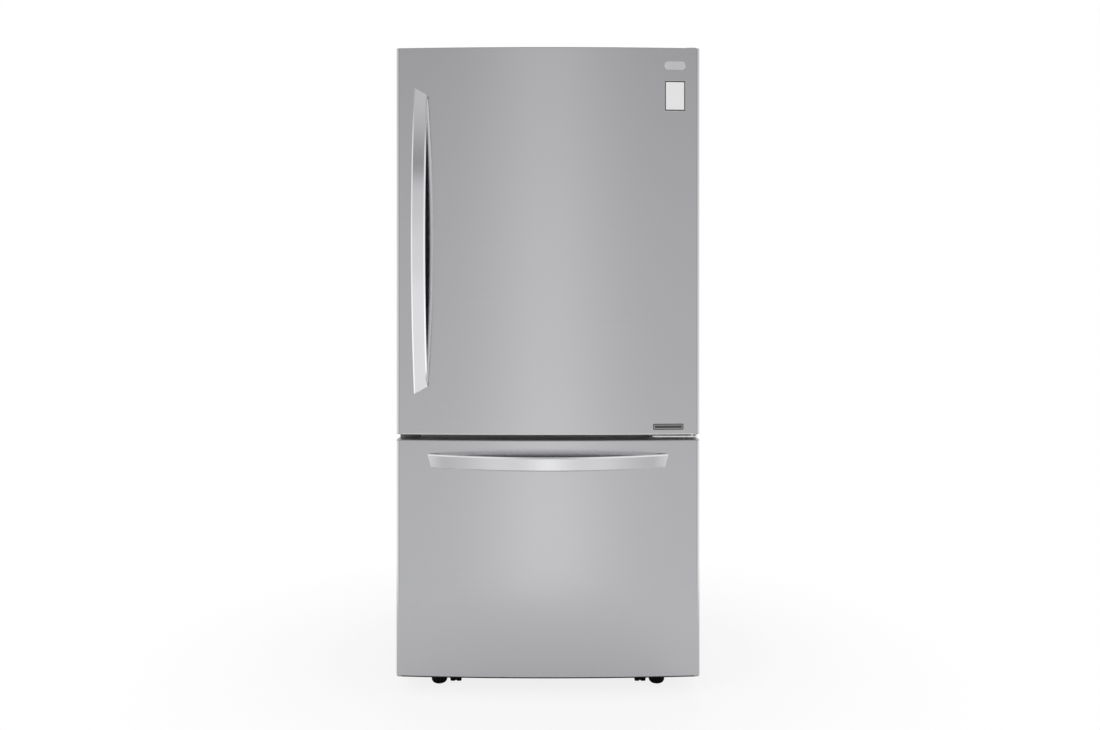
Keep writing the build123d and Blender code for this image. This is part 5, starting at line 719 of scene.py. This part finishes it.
LAMP_TARGET = Vector((0.0, 0.0, 0.9))
LAMP_SIDE = 2.4
LAMPS = (  # name, place, power in watts
    ("key_lamp", (-2.2, -3.4, 3.0), 36.0),
    ("fill_lamp", (2.8, -2.6, 1.8), 20.0),
    ("back_lamp", (0.6, 3.6, 3.0), 30.0),
)

FLOOR_RADIUS, FLOOR_SIDES = 1.35, 96
FLOOR_LEVEL, FLOOR_ROUGH = 0.92, 0.7
FLOOR_GLOW = 0.84  # share of plain white that the camera sees in the middle
FADE_FROM, FADE_RATE = 0.6, 1.45  # from here outwards the rest turns white, by this share per metre


def at_height(degrees):
    """Where a direction this far above the horizon lies on the studio's upright ramp."""
    return 0.5 + 0.5 * math.sin(math.radians(degrees))


def make_world():
    """White to the camera. Reflections show soft light ahead, grey beside it, bright walls further on."""
    world = bpy.data.worlds.new("studio")
    world.use_nodes = True
    scene.world = world
    tree = world.node_tree
    rays = tree.nodes.new("ShaderNodeLightPath")
    way = Sock(tree.nodes.new("ShaderNodeTexCoord").outputs["Generated"])
    across, away, up = way.part(0), way.part(1), way.part(2)
    round_the_side = (away + WALLS_FROM).math("MAXIMUM", 0.0)
    spread = across.math("ABSOLUTE") + WALLS_GAIN * round_the_side
    rise = (0.5 + 0.5 * up).ramp([(at_height(degrees), level) for degrees, level in STUDIO_RISE])
    turn = spread.ramp(STUDIO_TURN)
    glossy = Sock(rays.outputs["Is Glossy Ray"])
    seen = Sock(rays.outputs["Is Camera Ray"]).math("MAXIMUM", Sock(rays.outputs["Is Transmission Ray"]))
    unseen = glossy * (rise * turn) + (1.0 - glossy) * STUDIO_AMBIENT
    level = seen + (1.0 - seen) * unseen
    background = tree.nodes["Background"]
    background.inputs["Color"].default_value = grey(1.0)
    tree.links.new(level.socket, background.inputs["Strength"])


def add_lamp(name, place, power):
    """A square area lamp that looks at the refrigerator and doesn't show in reflections."""
    data = bpy.data.lights.new(name, "AREA")
    data.shape = "RECTANGLE"
    data.size, data.size_y = LAMP_SIDE, LAMP_SIDE
    data.energy = power
    light = bpy.data.objects.new(name, data)
    light.location = place
    aim = LAMP_TARGET - Vector(place)
    light.rotation_euler = aim.to_track_quat("-Z", "Y").to_euler()
    light.visible_glossy = False
    scene.collection.objects.link(light)


def make_stage():
    """A round pale floor that keeps a soft shadow and fades into the white ground."""
    turns = [2 * math.pi * i / FLOOR_SIDES for i in range(FLOOR_SIDES)]
    ring = [(FLOOR_RADIUS * math.cos(turn), FLOOR_RADIUS * math.sin(turn), 0.0) for turn in turns]
    mesh = bpy.data.meshes.new("floor")
    mesh.from_pydata(ring, [], [tuple(range(FLOOR_SIDES))])
    material = bpy.data.materials.new("pale_floor")
    material.use_nodes = True
    tree = material.node_tree
    shader = tree.nodes["Principled BSDF"]
    shader.inputs["Base Color"].default_value = grey(FLOOR_LEVEL)
    shader.inputs["Roughness"].default_value = FLOOR_ROUGH
    place = Sock(tree.nodes.new("ShaderNodeTexCoord").outputs["Object"])
    reach = place.node("ShaderNodeVectorMath", {"operation": "LENGTH"}, {0: place}, out=1)
    far = (reach - FADE_FROM).math("MULTIPLY", FADE_RATE, clamp=True)
    camera_ray = Sock(tree.nodes.new("ShaderNodeLightPath").outputs["Is Camera Ray"])
    glow = tree.nodes.new("ShaderNodeEmission")
    blend = tree.nodes.new("ShaderNodeMixShader")
    factor = camera_ray * (FLOOR_GLOW + (1.0 - FLOOR_GLOW) * far)
    tree.links.new(factor.socket, blend.inputs[0])
    tree.links.new(shader.outputs[0], blend.inputs[1])
    tree.links.new(glow.outputs[0], blend.inputs[2])
    tree.links.new(blend.outputs[0], tree.nodes["Material Output"].inputs["Surface"])
    mesh.materials.append(material)
    floor = bpy.data.objects.new("floor", mesh)
    scene.collection.objects.link(floor)


place_camera()
make_stage()
make_world()
for lamp in LAMPS:
    add_lamp(*lamp)
dress_nodes()
add_plates()
add_handle_back("door", "fridge_door", upright=True, liner_wide=0.018)
add_handle_back("drawer", "freezer_drawer", upright=False, liner_wide=0.012)
add_shelf_edges()
add_bin_edges()
add_edge_strips()
add_back_screws()
add_machine_room_lines()
add_display()
scene.view_settings.view_transform = "Standard"
